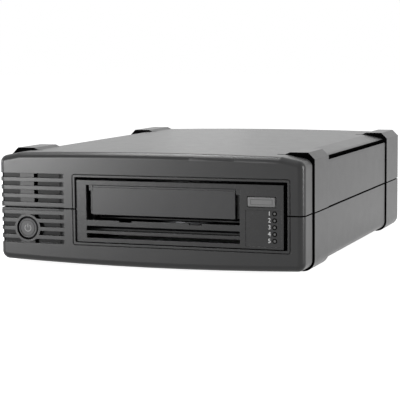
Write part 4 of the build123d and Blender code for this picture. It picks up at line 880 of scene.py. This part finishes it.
def numeral(text: str, height: float, name: str) -> bpy.types.Object:
    """Makes a plain numeral as a flat mesh that faces the front, about its middle.

    Args:
        text: the digits.
        height: the height of the digits.
        name: the piece's name.

    Returns:
        The object, at the origin.
    """
    curve = bpy.data.curves.new(name + "_outline", "FONT")
    curve.body = text
    curve.size = height / DIGIT_SHARE
    curve.align_x = "CENTER"
    curve.align_y = "CENTER"
    curve.extrude = FIGURE_DEPTH
    source = bpy.data.objects.new(name + "_outline", curve)
    bpy.context.scene.collection.objects.link(source)
    mesh = bpy.data.meshes.new_from_object(source)
    bpy.data.objects.remove(source)
    mesh.transform(Matrix.Rotation(math.pi / 2, 4, "X"))
    mesh.name = name
    piece = bpy.data.objects.new(name, mesh)
    bpy.context.scene.collection.objects.link(piece)
    return piece


# Sub-assemblies


@dataclass
class SubAssembly:
    """A group of solids that are dressed together."""

    finishes: dict[str, Finish] = field(default_factory=dict)

    def build(self) -> None:
        """Dresses the solids, then builds the pieces that they lack."""
        for name, finish in self.finishes.items():
            dress(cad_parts[name], finish)
            log.info("%s dressed as %s", name, finish.name)
        for piece in self.details():
            log.info("%s built for %s", piece.name, type(self).__name__)

    def details(self) -> list[bpy.types.Object]:
        """Builds the sub-assembly's own thin pieces.

        Returns:
            The pieces, each riding on its body.
        """
        return []


@dataclass
class Enclosure(SubAssembly):
    """The two covers, their feet and the screws that join them."""

    finishes: dict[str, Finish] = field(
        default_factory=lambda: {
            "upper_cover": CASE,
            "lower_cover": CASE,
            "rubber_feet": FOOT,
            "case_screws": SCREW,
        }
    )


@dataclass
class PowerControl(SubAssembly):
    """The round power button and the switch behind it."""

    symbol_radius: float = 2.3 * MM
    symbol_gap: float = 70.0
    stroke_start: float = 0.4 * MM
    stroke_rise: float = 0.7 * MM
    line: float = 0.55 * MM
    finishes: dict[str, Finish] = field(
        default_factory=lambda: {"power_button": POWER, "power_switch": BOARD}
    )

    def details(self) -> list[bpy.types.Object]:
        """Builds the stand-by sign on the button's face.

        Returns:
            The sign.
        """
        low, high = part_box("power_button")
        x, y, z = (low.x + high.x) / 2, low.y + PRINT_GAP, (low.z + high.z) / 2
        first = 90 + self.symbol_gap / 2
        last = 450 - self.symbol_gap / 2
        half = self.line / 2
        sign = Sketch("standby_sign")
        sign.arc((x, y, z), self.symbol_radius, self.line, first, last)
        sign.bar(
            (x - half, z + self.stroke_start),
            (x + half, z + self.symbol_radius + self.stroke_rise),
            y,
        )
        return [sign.finish(FAINT_INK, "power_button")]


@dataclass
class DriveFront(SubAssembly):
    """The bezel, the slot door, the eject button and the status lights."""

    figure_height: float = 2.9 * MM
    figure_gap: float = 2.4 * MM
    panel_recess: float = 0.3 * MM
    light_heights: tuple[float, ...] = tuple(
        z * MM for z in (40.9, 36.4, 31.9, 27.4, 22.9)
    )
    outline_inset: tuple[float, float] = (3.0 * MM, 2.35 * MM)
    outline_width: float = 0.3 * MM
    rim_radius: float = 1.25 * MM
    rim_width: float = 0.75 * MM
    finishes: dict[str, Finish] = field(
        default_factory=lambda: {
            "drive_bezel": BEZEL,
            "slot_door": DOOR,
            "eject_button": EJECT,
            "status_light_pipes": PIPE,
            "front_panel_board": SHADE_DARK_BOARD,
        }
    )

    def details(self) -> list[bpy.types.Object]:
        """Builds the lights' figures, the painted shade round the light pipes and the
        painted shade line inside the eject button's edge.

        Returns:
            The pieces.
        """
        low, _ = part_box("status_light_pipes")
        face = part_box("drive_bezel")[0].y + self.panel_recess
        pieces = []
        for count, height in enumerate(self.light_heights, 1):
            figure = numeral(str(count), self.figure_height, f"light_figure_{count}")
            figure.location = (low.x - self.figure_gap, face, height)
            dress(figure, INK)
            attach(figure, "enclosure")
            pieces.append(figure)
        pieces.append(self.rims())
        pieces.append(self.outline())
        return pieces

    def rims(self) -> bpy.types.Object:
        """Builds painted shade, a black ring round the end of each light pipe where the
        gap round it lies in shade.

        Returns:
            The five rims as one piece.
        """
        low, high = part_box("status_light_pipes")
        sketch = Sketch("light_pipe_rim_shade")
        for height in self.light_heights:
            centre = ((low.x + high.x) / 2, low.y + PRINT_GAP, height)
            sketch.arc(centre, self.rim_radius, self.rim_width, 0, 360, steps=24)
        return sketch.finish(RIM_SHADE, "enclosure")

    def outline(self) -> bpy.types.Object:
        """Builds painted shade, a thin dark line along the ridge inside the eject
        button's edge.

        Returns:
            The outline.
        """
        low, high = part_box("eject_button")
        face = low.y + PRINT_GAP
        across, up = self.outline_inset
        left, right = low.x + across, high.x - across
        bottom, top = low.z + up, high.z - up
        width = self.outline_width
        sketch = Sketch("eject_ridge_shade")
        sketch.bar((left, bottom), (right, bottom + width), face)
        sketch.bar((left, top - width), (right, top), face)
        sketch.bar((left, bottom + width), (left + width, top - width), face)
        sketch.bar((right - width, bottom + width), (right, top - width), face)
        return sketch.finish(RIDGE_SHADE, "eject_button")


@dataclass
class RearPanel(SubAssembly):
    """The rear panel with its fan, its mains inlet and its data ports."""

    finishes: dict[str, Finish] = field(
        default_factory=lambda: {
            "rear_panel": PANEL,
            "rear_panel_screws": SCREW,
            "fan_frame": FAN,
            "fan_rotor": FAN,
            "fan_screws": SCREW,
            "ac_inlet": CONNECTOR,
            "inlet_contacts": CONTACT,
            "data_socket_cage": SHEET,
            "data_socket_board": BOARD,
        }
    )


@dataclass
class Chassis(SubAssembly):
    """The chassis tray, the drive's rails and the power supply."""

    finishes: dict[str, Finish] = field(
        default_factory=lambda: {
            "chassis_tray": SHEET,
            "left_drive_rail": SHEET,
            "right_drive_rail": SHEET,
            "drive_screws": SCREW,
            "psu_board": BOARD,
            "psu_spacers": NYLON,
            "psu_transformer": WINDING,
            "psu_capacitors": SLEEVE,
            "psu_connectors": NYLON,
            "psu_heatsinks": HEATSINK,
            "mains_lead": JACKET,
            "drive_power_lead": JACKET,
            "fan_lead": JACKET,
            "switch_lead": JACKET,
            "data_cable": JACKET,
        }
    )


@dataclass
class DriveBody(SubAssembly):
    """The drive's casting, covers and boards."""

    finishes: dict[str, Finish] = field(
        default_factory=lambda: {
            "drive_base": SHADE_BLACK_CASTING,
            "drive_bottom_cover": SHEET,
            "drive_top_cover": SHEET,
            "main_board": SHADE_DARK_BOARD,
            "main_board_chips": CHIP,
            "drive_rear_connectors": CONNECTOR,
        }
    )


@dataclass
class Loader(SubAssembly):
    """The cartridge tray, its cam slide and the gear train."""

    finishes: dict[str, Finish] = field(
        default_factory=lambda: {
            "cartridge_tray": SHADE_BLACK_SHEET,
            "loader_slide": SHADE_BLACK_SHEET,
            "loader_gear": ACETAL,
            "motor_pinion": CONTACT,
            "loader_motor": SHADE_DARK_CAN,
            "loader_bracket": SHEET,
        }
    )


@dataclass
class TapePath(SubAssembly):
    """The reels, the guide rollers and the head."""

    finishes: dict[str, Finish] = field(
        default_factory=lambda: {
            "supply_motor": SHADE_DARK_CAN,
            "supply_spindle": ACETAL,
            "take_up_motor": SHADE_DARK_CAN,
            "take_up_reel": ACETAL,
            "tape_path_posts": SHEET,
            "first_guide_roller": CASTING,
            "second_guide_roller": CASTING,
            "third_guide_roller": CASTING,
            "fourth_guide_roller": CASTING,
            "head_carriage": CASTING,
            "tape_head": HEAD,
            "head_stepper": SHADE_DARK_CAN,
            "head_screw": SCREW,
        }
    )


# Studio


class Aim(Enum):
    """Where a lamp stands, named from the camera's side."""

    LEFT = "left"
    FAR_LEFT = "far_left"
    TOP = "top"
    RIGHT = "right"
    BACK = "back"


@dataclass(frozen=True)
class Softbox:
    """A rectangular lamp that faces a point."""

    aim: Aim
    place: Point
    target: Point
    size: tuple[float, float]
    power: float

    def build(self) -> None:
        """Adds the lamp to the scene."""
        data = bpy.data.lights.new(f"softbox_{self.aim.value}", "AREA")
        data.shape = "RECTANGLE"
        data.size, data.size_y = self.size
        data.energy = self.power
        lamp = bpy.data.objects.new(data.name, data)
        lamp.location = self.place
        towards = Vector(self.target) - Vector(self.place)
        lamp.rotation_euler = towards.to_track_quat("-Z", "Y").to_euler()
        lamp.visible_camera = False
        bpy.context.scene.collection.objects.link(lamp)


@dataclass
class Studio:
    """The floor, the backdrop light, the lamps and the camera."""

    azimuth: float = 20.26
    elevation: float = 6.25
    roll: float = -0.53
    distance: float = 924.3 * MM
    target: Point = (38.80 * MM, -140 * MM, 48.71 * MM)
    lens: float = 125.97
    sensor: float = 36.0
    far_clip: float = 20.0
    floor_size: float = 12.0
    floor_drop: float = 0.02 * MM
    floor_colour: float = 0.80
    floor_glow: float = 0.92
    ambient: float = 0.18
    bounce: float = 0.30
    lamps: tuple[Softbox, ...] = (
        Softbox(Aim.LEFT, (-0.76, -1.18, 0.08), (-0.1, -0.14, 0.05), (0.32, 0.15), 9.0),
        Softbox(Aim.FAR_LEFT, (-0.9, -0.25, 0.12), (-0.08, -0.14, 0.04), (0.3, 0.3), 2.0),
        Softbox(Aim.TOP, (-0.35, -0.1, 1.0), (0.0, -0.12, 0.08), (1.0, 0.16), 8.0),
        Softbox(Aim.RIGHT, (0.66, -0.16, 0.16), (0.11, -0.08, 0.04), (0.1, 0.35), 2.6),
        Softbox(Aim.BACK, (-0.72, 1.95, 0.45), (0.0, 0.0, 0.08), (0.18, 0.9), 0.1),
    )

    def build(self) -> None:
        """Builds the studio."""
        self.floor()
        self.world()
        for lamp in self.lamps:
            lamp.build()
        self.camera()
        scene = bpy.context.scene
        scene.view_settings.view_transform = "Standard"
        log.info("studio built")

    def floor(self) -> None:
        """Adds a pale floor that keeps the part's shadow."""
        bpy.ops.mesh.primitive_plane_add(
            size=self.floor_size, location=(0, 0, -self.floor_drop)
        )
        plane = bpy.context.object
        plane.name = "floor"
        graph = Graph("floor_paper")
        camera = graph.node("ShaderNodeLightPath", {}, {}, output=WHITE_RAYS[0])
        bounce, paper, glow, dark = (
            (level,) * 3
            for level in (self.bounce, self.floor_colour, self.floor_glow, 0.0)
        )
        graph.set(
            Base_Color=graph.blend(camera, bounce, paper),
            Roughness=0.9,
            Specular_IOR_Level=0.0,
            Emission_Color=graph.blend(graph.white_rays(), dark, glow),
            Emission_Strength=1.0,
        )
        plane.data.materials.append(graph.material)

    def world(self) -> None:
        """Sets white for what the camera and gloss meet, and a plain level of light."""
        world = bpy.data.worlds.new("studio_air")
        air = Nodes(world)
        white = (1.0, 1.0, 1.0)
        light, background = (
            air.node("ShaderNodeBackground", {}, {"Color": white, "Strength": strength})
            for strength in (self.ambient, 1.0)
        )
        inputs = {0: air.white_rays(), 1: light, 2: background}
        mixed = air.node("ShaderNodeMixShader", {}, inputs)
        air.add("ShaderNodeOutputWorld", {}, {"Surface": mixed})
        bpy.context.scene.world = world

    def camera(self) -> None:
        """Adds the camera at the photograph's angle."""
        turn = math.radians(self.azimuth)
        rise = math.radians(self.elevation)
        tilt = math.radians(self.roll)
        back = Vector(
            (
                math.sin(turn) * math.cos(rise),
                -math.cos(turn) * math.cos(rise),
                math.sin(rise),
            )
        )
        level = Vector((0, 0, 1)).cross(back).normalized()
        upright = back.cross(level)
        right = level * math.cos(tilt) + upright * math.sin(tilt)
        up = back.cross(right)
        data = bpy.data.cameras.new("camera")
        data.lens = self.lens
        data.sensor_width = self.sensor
        data.clip_end = self.far_clip
        camera = bpy.data.objects.new("camera", data)
        place = Vector(self.target) + back * self.distance
        axes = Matrix((right, up, back)).transposed().to_4x4()
        camera.matrix_world = Matrix.Translation(place) @ axes
        bpy.context.scene.collection.objects.link(camera)
        bpy.context.scene.camera = camera


def main() -> None:
    """Dresses every sub-assembly, then builds the studio."""
    groups: tuple[Callable[[], SubAssembly], ...] = (
        Enclosure,
        PowerControl,
        DriveFront,
        RearPanel,
        Chassis,
        DriveBody,
        Loader,
        TapePath,
    )
    for group in groups:
        group().build()
    Studio().build()


if __name__ == "__main__":
    main()
